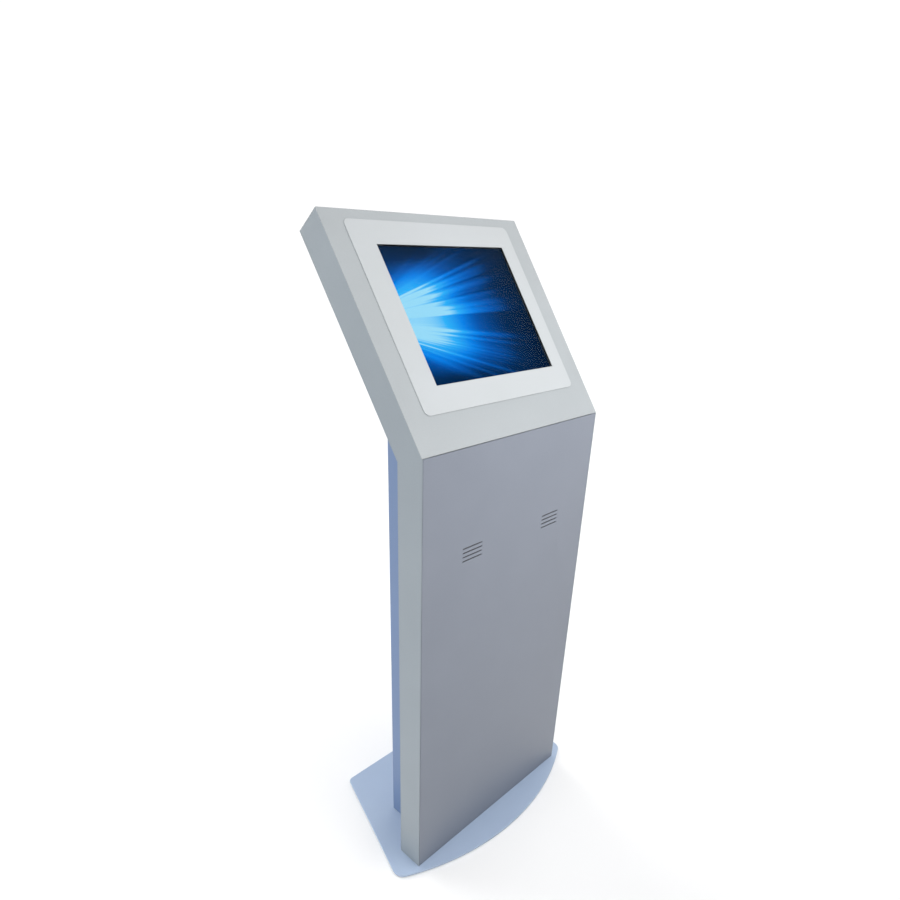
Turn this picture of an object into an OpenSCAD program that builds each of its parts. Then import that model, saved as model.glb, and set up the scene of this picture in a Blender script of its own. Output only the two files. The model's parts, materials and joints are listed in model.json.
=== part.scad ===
// Free-standing touchscreen information kiosk: a folded sheet-steel front shell with a tilted
// screen head, a narrower rear equipment housing with a locked door, and a curved base plate.
// Millimetres. +X right seen from the front, +Y towards the rear, +Z up.
// The origin is on the floor, in the middle of the base plate's outline.

/* [Base plate] */
// Depth of the base plate, from the front of its curve to its straight rear edge
base_d = 442; // [400:2:560]
// Width where the curved front edge and the straight sides would meet
base_w = 704; // [680:2:860]
// Width along the rear edge
base_rear_w = 480; // [430:2:600]
// Radius of the curved front edge
base_front_r = 715; // [560:5:1200]
// Radius of the two front corners
base_corner_r = 30; // [10:1:40]
// Radius of the two rear corners
base_rear_corner_r = 15; // [5:1:30]
// Thickness of the steel base plate
base_t = 6; // [4:0.5:12]
// Height of the rubber pads under the base plate
pad_h = 3; // [2:0.5:6]
// Radius of one rubber pad
pad_r = 16; // [10:1:22]
// From the front of the base plate's curve back to the front panel
front_setback = 77; // [60:1:100]
// Diameter of the floor anchor holes
anchor_d = 12; // [8:0.5:16]
// Distance between the anchor holes from side to side
anchor_pitch_x = 300; // [200:5:340]
// Distance between the anchor holes from front to rear
anchor_pitch_y = 125; // [100:5:135]

/* [Shell] */
// Width of the front shell over its two cheeks
shell_w = 580; // [560:5:700]
// Depth of the front shell, the same in the column and in the head
shell_d = 70; // [64:1:90]
// Height of the column's front, from the base plate up to the bend line
front_h = 1104; // [1000:2:1340]
// Length of the tilted face, from the bend line up to its top edge
face_l = 510; // [500:2:620]
// Tilt of the face away from the vertical
face_tilt = 35.4; // [25:0.1:45]
// Thickness of the sheet used for panels
sheet_t = 1.5; // [1:0.1:2.5]
// Thickness of the sheet used for the two cheeks
cheek_t = 2; // [1.5:0.1:3]
// Width of the cheeks' inward flanges
flange_w = 16; // [14:1:22]
// Open seam between the front panel and the parts round it
seam = 0.8; // [0.4:0.1:1.5]

/* [Rear housing] */
// Width of the rear housing
box_w = 424; // [400:2:500]
// Depth of the rear housing behind the front shell
box_d = 121; // [115:1:160]
// Width of the frame beside the door
door_frame_w = 24; // [22:1:34]
// Height of the fixed panel under the door
kick_h = 130; // [125:5:180]
// Height of the frame above the door
door_top_margin = 60; // [40:5:120]
// Gap round the door
door_gap = 2; // [1.5:0.25:3]
// Depth of the door's folded edges
door_return = 14; // [10:1:15]
// Length of one ventilation slot in the door
vent_l = 150; // [100:5:180]
// Height of one ventilation slot in the door
vent_h = 5; // [3:0.5:7]
// Spacing of the ventilation slots in the door
vent_pitch = 15; // [12:1:20]
// Number of ventilation slots in one group
vent_n = 8; // [4:1:10]
// Width of the panel that holds the mains inlet
service_w = 210; // [200:2:240]
// Height of the panel that holds the mains inlet
service_h = 84; // [76:1:90]

/* [Screen] */
// Width of the visible picture
screen_w = 376.3; // [310:0.1:410]
// Height of the visible picture
screen_h = 301.1; // [264:0.1:330]
// How far the picture sits to the right of the head's middle
screen_shift = 8; // [0:0.5:12]
// Height of the picture's middle above the bend line, along the face
screen_z = 284; // [265:1:300]
// Width of the bezel plate
bezel_w = 480; // [460:1:500]
// Height of the bezel plate
bezel_h = 412; // [380:1:420]
// Height of the bezel plate's middle above the bend line, along the face
bezel_z = 282; // [270:1:300]
// Corner radius of the bezel plate
bezel_r = 14; // [4:1:30]
// Thickness of the bezel plate, which lies on the face
bezel_t = 1.5; // [1:0.1:3]
// Thickness of the touch glass
glass_t = 3; // [2:0.5:4]
// Depth of the monitor's chassis behind the face sheet
chassis_d = 38; // [30:1:40]

/* [Loudspeakers] */
// Distance of each loudspeaker from the middle
speaker_x = 138; // [110:1:190]
// Height of the loudspeakers above the base plate
speaker_z = 865; // [700:5:1000]
// Length of one sound slot
sound_slot_l = 62; // [40:1:66]
// Height of one sound slot
sound_slot_h = 3; // [2:0.25:5]
// Spacing of the sound slots
sound_slot_pitch = 10; // [7:0.5:12]
// Number of sound slots for one loudspeaker
sound_slot_n = 4; // [3:1:5]
// Side of the loudspeaker's square frame
speaker_side = 68; // [60:1:80]

/* [Equipment] */
// Height of the computer's shelf above the base plate
shelf_z = 600; // [540:5:640]
// Width of the computer
pc_w = 200; // [160:2:230]
// Depth of the computer
pc_d = 60; // [45:1:66]
// Height of the computer
pc_h = 190; // [150:2:220]
// Height of the power strip above the base plate
strip_z = 300; // [280:5:330]
// Length of the power strip
strip_l = 250; // [210:5:280]
// Side of the square fan frames
fan_side = 80; // [60:1:84]
// Thickness of the fan frames
fan_t = 20; // [15:1:22]
// Distance of each fan from the middle
fan_x = 165; // [120:1:200]

/* [Hinges and locks] */
// Length of one hinge
hinge_l = 60; // [50:2:80]
// Radius of a hinge's knuckle
knuckle_r = 3.5; // [3:0.1:4.5]
// Radius of a hinge's pin
hinge_pin_r = 1.8; // [1.5:0.1:2.2]
// Radius of a lock's barrel
lock_r = 9.5; // [8:0.5:11]
// Radius of a lock's turning plug
plug_r = 6; // [5:0.25:6.5]

/* [Hidden] */
$fn = 48;

arc_steps = 10;            // straight pieces in one rounded corner
front_edge_steps = 30;     // straight pieces in half of the base plate's curved edge
tiny = 0.01;
past = 1;                  // how far a cutter runs past a surface, or a block into the solid it joins
running_gap = 0.05;        // between a turning pin or plug and its bore
bore_gap = 0.15;           // between a screw or stud and its hole
fit_gap = 0.3;             // between a dropped-in part and its opening
screw_r = 2;               // M4
bolt_r = 4;                // M8
screw_hole_r = screw_r + bore_gap;
stud_out = 6;              // how far a weld stud stands out of the sheet or flange it clamps
nut_h = 4;
nut_r = 4.04;              // over its corners
nut_flange_r = 5;
nut_flange_t = 1;
panel_screw_l = 8;
column_margin = 60;        // from the column's ends to its last screws and studs
head_margin = 45;          // the same in the head, and at the bend

base_top = pad_h + base_t;
y_front = front_setback - base_d / 2;
rear_y = shell_d + box_d;                               // outside of the rear housing
back_bend_s = shell_d * tan(face_tilt / 2);             // the head's back starts this far up the face
rear_bend_z = front_h - back_bend_s;                    // and at this height
shell_half = shell_w / 2;
flange_x = shell_half - cheek_t - flange_w / 2;         // middle of the cheeks' flanges
panel_stud_zs = spread(column_margin, front_h - column_margin, 5);
face_stud_zs = spread(head_margin, face_l - head_margin, 3);
column_screw_zs = spread(column_margin, rear_bend_z - head_margin, 4);
head_screw_zs = spread(back_bend_s + head_margin, face_l - head_margin, 3);
foot_w = 46;                                            // the cheek's foot, folded inwards
foot_t = 4;
foot_bolt_x = shell_half - cheek_t - 26;
foot_bolt_ys = [0.3 * shell_d, 0.7 * shell_d];

anchor_mid_y = 92;                                      // middle of the anchor holes, behind the front panel
base_hole_y = 128;                                      // cable hole in the base plate
base_hole_r = 24;
pad_margin = 8;                                         // between a pad and the plate's edge
front_pad_in = 14;                                      // the front pads stand further in by this,
front_pad_back = 20;                                    // and behind the plate's widest line by this
washer_r = 8;
washer_t = 1.6;
bolt_head_r = 7.2;                                      // over its corners
bolt_head_h = 5.2;
bolt_end = 0.5;                                         // the bolts end this far above the plate's underside
grommet_lip = 3;
grommet_lip_t = 2;
grommet_wall = 3;

box_half = box_w / 2;
box_flange_w = 20;
box_screw_x = box_half - 12;
box_screw_zs = spread(kick_h + 20, rear_bend_z - head_margin, 4);
box_top_flange_l = (box_d - 3) / sin(face_tilt);        // the upper flange follows the head's back
door_z0 = kick_h;
door_z1 = rear_bend_z + box_d / tan(face_tilt) - door_top_margin;
door_half = box_half - door_frame_w;                    // half of the door's opening
door_lip_w = 8;
door_lip_y = rear_y - door_return - 1;                  // outer face of the lip behind the door
hinge_x = door_gap / 2 - door_half;
hinge_y = rear_y + 5;
hinge_leaf_t = 2;
leaf_face = rear_y + hinge_leaf_t;
hinge_leaf_w = 17;
hinge_end = 90;                                         // from the door's ends to its outer hinges
hinge_zs = [door_z0 + hinge_end, (door_z0 + door_z1) / 2, door_z1 - hinge_end];
hinge_screw_x = hinge_leaf_w / 2 + 4.5;
hinge_screw_z = hinge_l / 2 - 9;
hinge_screw_l = 5;
knuckle_n = 5;
knuckle_gap = 0.3;
hinge_pin_out = 1;
hinge_pin_head_t = 1.5;
lock_x = door_half - 23;
lock_zs = [door_z0 + 250, door_z1 - 250];
lock_rim_w = 2.5;
lock_rim_t = 2;
lock_nut_w = 4.5;
lock_nut_h = 4;
plug_tail_r = 3;
plug_tail_out = 3;                                      // the tail carries the cam and ends behind it
key_slot_w = 1.4;
key_slot_h = 6;
key_slot_d = 4;
cam_t = 2;
cam_gap = 0.2;
cam_y = door_lip_y - sheet_t - cam_gap;                 // outer face of the cams
cam_reach = 20;
cam_w = 10;
cam_hub_r = 6.5;
door_vent_end = 110;                                    // from the door's ends to the middle of its vents

window_margin = 1;                                      // of the bezel's window round the picture
glass_gap = 1;                                          // between the glass and the sheet round it
glass_margin = 10;                                      // the glass runs past the picture by this all round
glass_w = screen_w + 2 * glass_margin;
glass_h = screen_h + 2 * glass_margin;
gasket_t = sheet_t - 0.5;
gasket_in = 3;                                          // from the picture's edge to the gasket
glass_y = gasket_t;
lcd_y = glass_y + glass_t;
lcd_t = 11;
lcd_margin = 7;
chassis_wall = 1.5;
chassis_gap = 3;                                        // between the chassis's walls and the glass
chassis_half = glass_w / 2 + chassis_wall + chassis_gap;
chassis_h = glass_h + 2 * (chassis_wall + chassis_gap);
chassis_back = sheet_t + chassis_d;
cover_w = 230;                                          // the monitor's electronics cover
cover_h = 120;
cover_d = 12;
cover_z = screen_z - 50;
small_vent_h = 3;                                       // slots in the chassis, its cover and the computer
small_vent_pitch = 8;
chassis_vent_x = 0.72 * chassis_half;
chassis_vent_z = 0.36 * chassis_h;
chassis_vent_l = 70;
chassis_vent_n = 5;
cover_vent_l = 150;
cover_vent_d = 2;
cover_vent_pitch = 26;
monitor_key_r = 3.5;
monitor_key_h = 4.5;
monitor_key_out = 2;
monitor_key_x = screen_shift + cover_w / 2 - 25;
bracket_w = 24;
bracket_t = 2;
bracket_h = 270;
bracket_d = chassis_d - 8;
bracket_stud_x = chassis_half + 14;
bracket_stud_zs = [-110, 0, 110];
grommet_s = 118;                                        // cable hole in the head's back, up the face
grommet_r = 17;
back_vent_x = 130;
back_vent_s = 0.6 * face_l;
back_vent_l = 120;
back_vent_pitch = 14;
back_vent_n = 6;

fan_s = face_l - fan_side / 2 - 38;
fan_wall = 3;                                           // of the frame, at the middle of its sides
fan_bore = fan_side / 2 - fan_wall;
fan_corner_r = 5;
fan_screw_x = fan_side / 2 - 4.5;
fan_y = shell_d - sheet_t - fan_t;
motor_r = 15;                                           // plate that carries the rotor
motor_t = 2.5;
spider_w = 4;                                           // arms from the plate to the frame
rotor_hub_r = 16;
rotor_pin_r = 1.5;
rotor_gap = 1;                                          // between the plate and the rotor
rotor_back_gap = 2;
blade_n = 7;
blade_gap = 3;                                          // between the blades' tips and the bore
blade_w = 13;
blade_t = 1.4;
blade_pitch = 35;
guard_t = 1.5;
guard_w = 2;                                            // of one ring
guard_arm_w = 4;
guard_rings = spread(12, fan_bore - 1, 4);              // radii of the rings' middles
guard_back = shell_d + guard_t;
guard_foot_r = 4.5;

speaker_stud = speaker_side / 2 - 6;
speaker_stud_out = 9;
cloth_t = 0.5;
speaker_y = sheet_t + cloth_t;                          // front of the baskets
basket_t = 2;
basket_d = 22;
basket_window_w = 14;
magnet_plate_r = 20;
magnet_plate_t = 3;
magnet_r = 23;
magnet_t = 11;
magnet_cap_t = 2;
magnet_back = speaker_y + basket_d + magnet_plate_t + magnet_t + magnet_cap_t;
speaker_hatch_w = 300;                                  // opening in the column's back for the leads
speaker_hatch_down = 55;
speaker_hatch_up = 75;

pc_foot_h = 3;
pc_foot_r = 6;
pc_foot_in = 14;
pc_y = shell_d + 22;
pc_z = shelf_z + pc_foot_h;
pc_key_r = 6;
pc_key_out = 1.8;
pc_key_in = 3;
pc_key_x = pc_w / 2 - 20;
pc_key_z = pc_z + pc_h - 22;
pc_port_w = 14;
pc_port_h = 6;
pc_port_pitch = 24;
pc_port_d = 8;
pc_vent_d = 3;
shelf_gap = 1;                                          // between the shelf and the sheets round it
shelf_lip_h = 12;
shelf_short = 26;                                       // the shelf ends this far inside the housing's rear
shelf_notch_w = 36;                                     // cable notches at the shelf's ends
shelf_notch_in = 24;
shelf_vent_w = 6;
shelf_vent_pitch = 26;
shelf_bracket_t = 2;
shelf_bracket_w = 20;
shelf_bracket_h = 30;

strip_h = 48;
strip_d = 40;
strip_y = shell_d;
outlet_xs = [-60, 0, 60];
outlet_r = 19.5;
outlet_d = 14;
outlet_pin_x = 9.5;
outlet_pin_r = 2.4;
outlet_pin_gap = 0.2;
outlet_pin_l = 18;
power_plug_r = outlet_r - 0.5;
power_plug_out = 14;
plug_neck_r = 8;
plug_neck_l = 6;
plug_relief_r = 5;
plug_relief_l = 8;

service_z = kick_h / 2;
service_screw_in = 7;
service_frame_w = 12;                                   // rear sheet left round the opening behind the panel
panel_t = 2;
inlet_x = -48;
inlet_w = 28;
inlet_h = 48;
inlet_d = 24;
inlet_rim_w = 3;
inlet_rim_t = 2.5;
socket_w = 24;
socket_h = 16;
socket_d = 17;
socket_pin_pitch = 7;
socket_pin_t = 2;
socket_pin_h = 4;
socket_pin_in = 3;                                      // the pins end this far inside the socket's mouth
jack_x = 52;
jack_r = 11.8;
jack_gap = 0.2;
jack_d = 20;
jack_rim_w = 28;
jack_rim_h = 32;
jack_rim_t = 2;
jack_port_w = 12;
jack_port_h = 8;
jack_key_w = 7;
jack_key_h = 2;
jack_port_d = 9;

rocker_tilt = 7;
rocker_w = 18;
rocker_h = 14;
rocker_d = 1.5;                                         // behind the pivot
rocker_dip = 1.2;                                       // how proud of the rim the face's middle stands,
rocker_ear = 1;                                         // and how much more its two ends do
rocker_sink = 2.5;                                      // pivot's depth below the face round it
rocker_pin_r = 1.2;
rocker_pin_out = 1.5;                                   // how far the pin stands out of the rocker's sides
rocker_well_d = 7;
strip_rocker_x = strip_l / 2 - 20;
strip_face = strip_y + strip_d;
outlet_floor = strip_face - outlet_d;
plug_back = strip_face + power_plug_out;
panel_face = rear_y + panel_t;
inlet_face = panel_face + inlet_rim_t;
inlet_rocker_z = service_z + 13.5;
inlet_socket_z = service_z - 10.5;

// ---------- outlines and small helpers ----------

// n values, evenly spread from one to the other.
function spread(from, to, n) = [for (i = [0:n - 1]) from + (to - from) * i / (n - 1)];

function arc(centre, r, from, to, n, first = 0) =
    [for (i = [first:n]) centre + r * [cos(from + (to - from) * i / n), sin(from + (to - from) * i / n)]];

function rounded_rect(w, h, r) = concat(
    arc([w / 2 - r, h / 2 - r], r, 0, 90, arc_steps), arc([r - w / 2, h / 2 - r], r, 90, 180, arc_steps),
    arc([r - w / 2, r - h / 2], r, 180, 270, arc_steps), arc([w / 2 - r, r - h / 2], r, 270, 360, arc_steps));

function slot_outline(l, h) = concat(
    arc([(l - h) / 2, 0], h / 2, -90, 90, arc_steps), arc([(h - l) / 2, 0], h / 2, 90, 270, arc_steps));

// A point of the head, given by its depth behind the face and its distance up the face.
function head_yz(y, s) =
    [y * cos(face_tilt) + s * sin(face_tilt), front_h - y * sin(face_tilt) + s * cos(face_tilt)];
function head_xyz(x, y, s) = [x, head_yz(y, s)[0], head_yz(y, s)[1]];
// Height of the head's back plane at a depth behind the front panel.
function under_head_z(y) = rear_bend_z + (y - shell_d) / tan(face_tilt);

// Side outline of the shell: its front line at one depth, every other edge inset by b.
function shell_outline(front, b, foot) = [
    [front, foot], [front, front_h + front / tan(face_tilt) - b / sin(face_tilt)],
    head_yz(b, face_l - b), head_yz(shell_d - b, face_l - b),
    [shell_d - b, front_h - (shell_d - b) * tan(face_tilt / 2)], [shell_d - b, foot]];

module at_column() {
    translate([0, y_front, base_top]) children();
}

module at_head() {
    at_column() translate([0, 0, front_h]) rotate([-face_tilt, 0, 0]) children();
}

module both_sides() {
    children();
    mirror([1, 0, 0]) children();
}

module block(x0, x1, y0, y1, z0, z1) {
    translate([x0, y0, z0]) cube([x1 - x0, y1 - y0, z1 - z0]);
}

// A block of one width and height round the axis, between two depths.
module centred_block(w, h, y0, y1) {
    block(-w / 2, w / 2, y0, y1, -h / 2, h / 2);
}

// A rectangular ring seen from the front, wide by wall, round the opening given.
module ring(x0, x1, z0, z1, wall, y0, y1) {
    difference() {
        block(x0 - wall, x1 + wall, y0, y1, z0 - wall, z1 + wall);
        block(x0, x1, y0 - past, y1 + past, z0, z1);
    }
}

// A profile of depth and height, extruded from x0 to x1.
module side_profile(points, x0, x1) {
    translate([x0, 0, 0]) rotate([90, 0, 90]) linear_extrude(x1 - x0) polygon(points);
}

// An outline of width and height, extruded from y0 to y1.
module front_outline(points, y0, y1) {
    translate([0, y1, 0]) rotate([90, 0, 0]) linear_extrude(y1 - y0) polygon(points);
}

module rod_y(r, y0, y1) {
    translate([0, y0, 0]) rotate([-90, 0, 0]) cylinder(h = y1 - y0, r = r);
}

module hex_y(r, y0, y1) {
    translate([0, y0, 0]) rotate([-90, 0, 0]) cylinder(h = y1 - y0, r = r, $fn = 6);
}

// A turned shape whose axis runs along Y: its points are radius and depth.
module turned_y(points) {
    rotate([-90, 0, 0]) rotate_extrude() polygon(points);
}

module slot_row(l, h, pitch, n, y0, y1) {
    for (i = [0:n - 1])
        translate([0, 0, (i - (n - 1) / 2) * pitch]) front_outline(slot_outline(l, h), y0, y1);
}

// Pan-head screw: its head rests on y = 0 and its shank runs towards -Y.
module pan_screw(length) {
    head_r = screw_r * 1.9;
    head_h = screw_r * 1.1;
    socket_r = screw_r * 0.75;
    difference() {
        union() {
            rod_y(head_r, 0, head_h);
            rod_y(screw_r, -length, head_h / 2);
        }
        hex_y(socket_r, head_h / 2, head_h + past);
    }
}

// Hexagon nut with a flange that rests on y0, for the studs.
module flange_nut(y0) {
    difference() {
        union() {
            hex_y(nut_r, y0, y0 + nut_h);
            rod_y(nut_flange_r, y0, y0 + nut_flange_t);
        }
        rod_y(screw_r + running_gap, y0 - past, y0 + nut_h + past);
    }
}

// Clearance hole for one screw or stud, between two depths.
module screw_hole(y0, y1) {
    rod_y(screw_hole_r, y0 - past, y1 + past);
}

// ---------- base ----------

arc_centre_y = base_front_r - base_d / 2;
front_corner = [base_w / 2, arc_centre_y - sqrt(base_front_r * base_front_r - base_w * base_w / 4)];
rear_corner = [base_rear_w / 2, base_d / 2];
side_dir = (rear_corner - front_corner) / norm(rear_corner - front_corner);
side_in = [-side_dir[1], side_dir[0]];
side_angle = atan2(side_dir[1], side_dir[0]);
// Centre of the front corner: base_corner_r inside the straight side and inside the front curve.
corner_from = front_corner + base_corner_r * side_in - [0, arc_centre_y];
corner_along = -(corner_from * side_dir) - sqrt(pow(corner_from * side_dir, 2)
    - corner_from * corner_from + pow(base_front_r - base_corner_r, 2));
corner_c = corner_from + [0, arc_centre_y] + corner_along * side_dir;
corner_angle = atan2(corner_c[1] - arc_centre_y, corner_c[0]);
rear_c = rear_corner + base_rear_corner_r * side_in
    - base_rear_corner_r * tan((180 - side_angle) / 2) * side_dir;

base_half = concat(
    arc([0, arc_centre_y], base_front_r, -90, corner_angle, front_edge_steps),
    arc(corner_c, base_corner_r, corner_angle, side_angle - 90, arc_steps, 1),
    arc(rear_c, base_rear_corner_r, side_angle - 90, 90, arc_steps));

module at_anchors() {
    for (x = [-0.5, 0.5], y = [-0.5, 0.5])
        translate([x * anchor_pitch_x, anchor_mid_y + y * anchor_pitch_y, 0]) children();
}

module at_foot_bolts() {
    for (x = [-1, 1], y = foot_bolt_ys)
        translate([x * foot_bolt_x, y, 0]) children();
}

module base_plate() {
    other_half = [for (i = [len(base_half) - 1:-1:1]) [-base_half[i][0], base_half[i][1]]];
    color("#a5b5d0") difference() {
        translate([0, 0, pad_h]) linear_extrude(base_t) polygon(concat(base_half, other_half));
        at_column() {
            at_anchors() base_cut(anchor_d / 2);
            at_foot_bolts() base_cut(bolt_r + running_gap);
            translate([0, base_hole_y, 0]) base_cut(base_hole_r);
        }
    }
}

// A round cutter through the base plate.
module base_cut(r) {
    translate([0, 0, -base_t - past]) cylinder(h = base_t + 2 * past, r = r);
}

module pad() {
    cylinder(h = pad_h, r = pad_r);
}

module base_pads() {
    inset = pad_r + pad_margin;
    front_y = front_corner[1] + front_pad_back;
    color("#26282b") {
        both_sides() translate([base_w / 2 - inset - front_pad_in, front_y, 0]) pad();
        both_sides() translate([base_rear_w / 2 - inset, base_d / 2 - inset, 0]) pad();
        translate([0, inset - base_d / 2, 0]) pad();
    }
}

module column_bolts() {
    color("#b9bcc0") at_column() at_foot_bolts() {
        translate([0, 0, foot_t]) cylinder(h = washer_t, r = washer_r);
        translate([0, 0, foot_t + washer_t - tiny]) cylinder(h = bolt_head_h, r = bolt_head_r, $fn = 6);
        translate([0, 0, bolt_end - base_t]) cylinder(h = foot_t + base_t + washer_t - bolt_end, r = bolt_r);
    }
}

module base_grommet() {
    bore_r = base_hole_r - grommet_wall;
    color("#1f2124") at_column() translate([0, base_hole_y, 0]) difference() {
        union() {
            cylinder(h = grommet_lip_t, r = base_hole_r + grommet_lip);
            translate([0, 0, bolt_end - base_t]) cylinder(h = base_t, r = base_hole_r - bore_gap);
        }
        translate([0, 0, -base_t]) cylinder(h = base_t + grommet_lip_t + past, r = bore_r);
    }
}

// ---------- shell ----------

module at_panel_studs() {
    for (x = [-1, 1], z = panel_stud_zs)
        translate([x * flange_x, 0, z]) children();
}

module at_face_studs() {
    for (x = [-1, 1], s = face_stud_zs)
        translate([x * flange_x, 0, s]) children();
}

module at_column_screws() {
    for (x = [-1, 1], z = column_screw_zs)
        translate([x * flange_x, 0, z]) children();
}

module at_head_screws() {
    for (x = [-1, 1], s = head_screw_zs)
        translate([x * flange_x, 0, s]) children();
}

module at_speakers() {
    for (x = [-1, 1])
        translate([x * speaker_x, 0, speaker_z]) children();
}

module at_speaker_studs() {
    at_speakers() for (x = [-1, 1], z = [-1, 1])
        translate([x * speaker_stud, 0, z * speaker_stud]) children();
}

module at_bracket_studs() {
    for (x = [-1, 1], s = bracket_stud_zs)
        translate([screen_shift + x * bracket_stud_x, 0, screen_z + s]) children();
}

module cheek() {
    inside = shell_half - cheek_t;
    flange_y = sheet_t + cheek_t;                       // inner face of the flanges
    difference() {
        at_column() {
            side_profile(shell_outline(0, sheet_t, 0), inside, shell_half);
            difference() {
                side_profile(shell_outline(sheet_t, sheet_t, 0), inside - flange_w, shell_half - past);
                side_profile(shell_outline(flange_y, flange_y, cheek_t), inside - flange_w - past, inside);
            }
            block(inside - foot_w, shell_half - past, sheet_t + past, shell_d - sheet_t - past, 0, foot_t);
        }
        at_column() {
            at_panel_studs() screw_hole(sheet_t, flange_y);
            at_column_screws() screw_hole(shell_d - flange_y, shell_d - sheet_t);
            at_foot_bolts() translate([0, 0, -past]) cylinder(h = foot_t + 2 * past, r = bolt_r + bore_gap);
        }
        at_head() {
            at_face_studs() screw_hole(sheet_t, flange_y);
            at_head_screws() screw_hole(shell_d - flange_y, shell_d - sheet_t);
        }
    }
}

module left_cheek() {
    color("#9ca3ab") mirror([1, 0, 0]) cheek();
}

module right_cheek() {
    color("#9ca3ab") cheek();
}

// A stud welded to the back of a front sheet.
module stud(out) {
    rod_y(screw_r, sheet_t / 2, sheet_t + out);
}

module front_panel() {
    half = shell_half - cheek_t - seam;
    color("#989ca6") at_column() difference() {
        union() {
            block(-half, half, 0, sheet_t, seam, front_h - sheet_t * sin(face_tilt) - seam);
            at_panel_studs() stud(cheek_t + stud_out);
            at_speaker_studs() stud(speaker_stud_out);
        }
        at_speakers()
            slot_row(sound_slot_l, sound_slot_h, sound_slot_pitch, sound_slot_n, -past, sheet_t + past);
    }
}

module head_face() {
    color("#c6cacd") at_head() difference() {
        union() {
            block(-shell_half, shell_half, 0, sheet_t, 0, face_l);
            block(-shell_half, shell_half, 0, shell_d - sheet_t, face_l - sheet_t, face_l);
            at_face_studs() stud(cheek_t + stud_out);
            at_bracket_studs() stud(bracket_t + stud_out);
        }
        translate([screen_shift, 0, screen_z])
            centred_block(glass_w + 2 * glass_gap, glass_h + 2 * glass_gap, -past, sheet_t + past);
    }
}

module flange_nuts() {
    color("#b9bcc0") {
        at_column() {
            at_panel_studs() flange_nut(sheet_t + cheek_t);
            at_speaker_studs() flange_nut(speaker_y + basket_t);
        }
        at_head() {
            at_face_studs() flange_nut(sheet_t + cheek_t + tiny);
            at_bracket_studs() flange_nut(sheet_t + bracket_t);
        }
    }
}

module at_fans() {
    for (x = [-1, 1])
        translate([x * fan_x, 0, fan_s]) children();
}

module at_fan_corners() {
    for (x = [-1, 1], z = [-1, 1])
        translate([x * fan_screw_x, 0, z * fan_screw_x]) children();
}

module at_fan_screws() {
    at_fans() at_fan_corners() children();
}

module head_back() {
    inner_y = shell_d - sheet_t;
    color("#9ca3ab") at_head() difference() {
        block(-shell_half, shell_half, inner_y + tiny, shell_d, back_bend_s + seam, face_l);
        at_fans() rod_y(fan_bore, inner_y - past, shell_d + past);
        at_fan_screws() screw_hole(inner_y, shell_d);
        at_head_screws() screw_hole(inner_y, shell_d);
        translate([0, 0, grommet_s]) rod_y(grommet_r, inner_y - past, shell_d + past);
        for (x = [-1, 1])
            translate([x * back_vent_x, 0, back_vent_s])
                slot_row(back_vent_l, vent_h, back_vent_pitch, back_vent_n, inner_y - past, shell_d + past);
    }
}

module column_back() {
    inner_y = shell_d - sheet_t;
    color("#9ca3ab") at_column() difference() {
        block(-shell_half, shell_half, inner_y, shell_d, seam, rear_bend_z);
        block(-speaker_hatch_w / 2, speaker_hatch_w / 2, inner_y - past, shell_d + past,
            speaker_z - speaker_hatch_down, speaker_z + speaker_hatch_up);
        at_column_screws() screw_hole(inner_y, shell_d);
        at_box_screws() screw_hole(inner_y, shell_d);
    }
}

module at_box_screws() {
    for (x = [-1, 1], z = box_screw_zs)
        translate([x * box_screw_x, 0, z]) children();
}

module at_service_screws() {
    x = service_w / 2 - service_screw_in;
    z = service_h / 2 - service_screw_in;
    for (side = [-1, 1], end = [-1, 1])
        translate([side * x, 0, service_z + end * z]) children();
}

module panel_screws() {
    color("#b9bcc0") {
        at_column() {
            at_column_screws() translate([0, shell_d, 0]) pan_screw(panel_screw_l);
            at_box_screws() translate([0, shell_d + sheet_t, 0]) pan_screw(panel_screw_l);
            at_service_screws() translate([0, panel_face, 0]) pan_screw(panel_screw_l);
        }
        at_head() at_head_screws() translate([0, shell_d, 0]) pan_screw(panel_screw_l);
    }
}

// ---------- rear housing and door ----------

module rear_housing() {
    outline = [[shell_d, 0], [shell_d, rear_bend_z - tiny], [rear_y, under_head_z(rear_y) - tiny], [rear_y, 0]];
    inside = box_half - sheet_t;
    inner_y = rear_y - sheet_t;
    flange_in = box_half - box_flange_w;
    flange_back = shell_d + sheet_t;
    color("#7a90b8") at_column() difference() {
        union() {
            difference() {
                side_profile(outline, -box_half, box_half);
                block(-inside, inside, shell_d - past, inner_y, -past, front_h + face_l);
            }
            both_sides() block(flange_in, box_half - past, shell_d, flange_back, 0, rear_bend_z);
            both_sides() translate([0, 0, front_h]) rotate([-face_tilt, 0, 0])
                block(flange_in, box_half - past, shell_d, flange_back,
                    back_bend_s + sheet_t + seam, back_bend_s + box_top_flange_l);
            ring(-door_half, door_half, door_z0, door_z1, sheet_t, door_lip_y - sheet_t, rear_y - past);
            ring(door_lip_w - door_half, door_half - door_lip_w, door_z0 + door_lip_w, door_z1 - door_lip_w,
                door_lip_w + sheet_t, door_lip_y - sheet_t, door_lip_y);
        }
        block(-door_half, door_half, door_lip_y, rear_y + past, door_z0, door_z1);
        translate([0, 0, service_z]) centred_block(service_w - 2 * service_frame_w,
            service_h - 2 * service_frame_w, inner_y - past, rear_y + past);
        at_service_screws() screw_hole(inner_y, rear_y);
        at_box_screws() screw_hole(shell_d, flange_back);
        at_hinge_screws(-1) screw_hole(inner_y, rear_y);
    }
}

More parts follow.
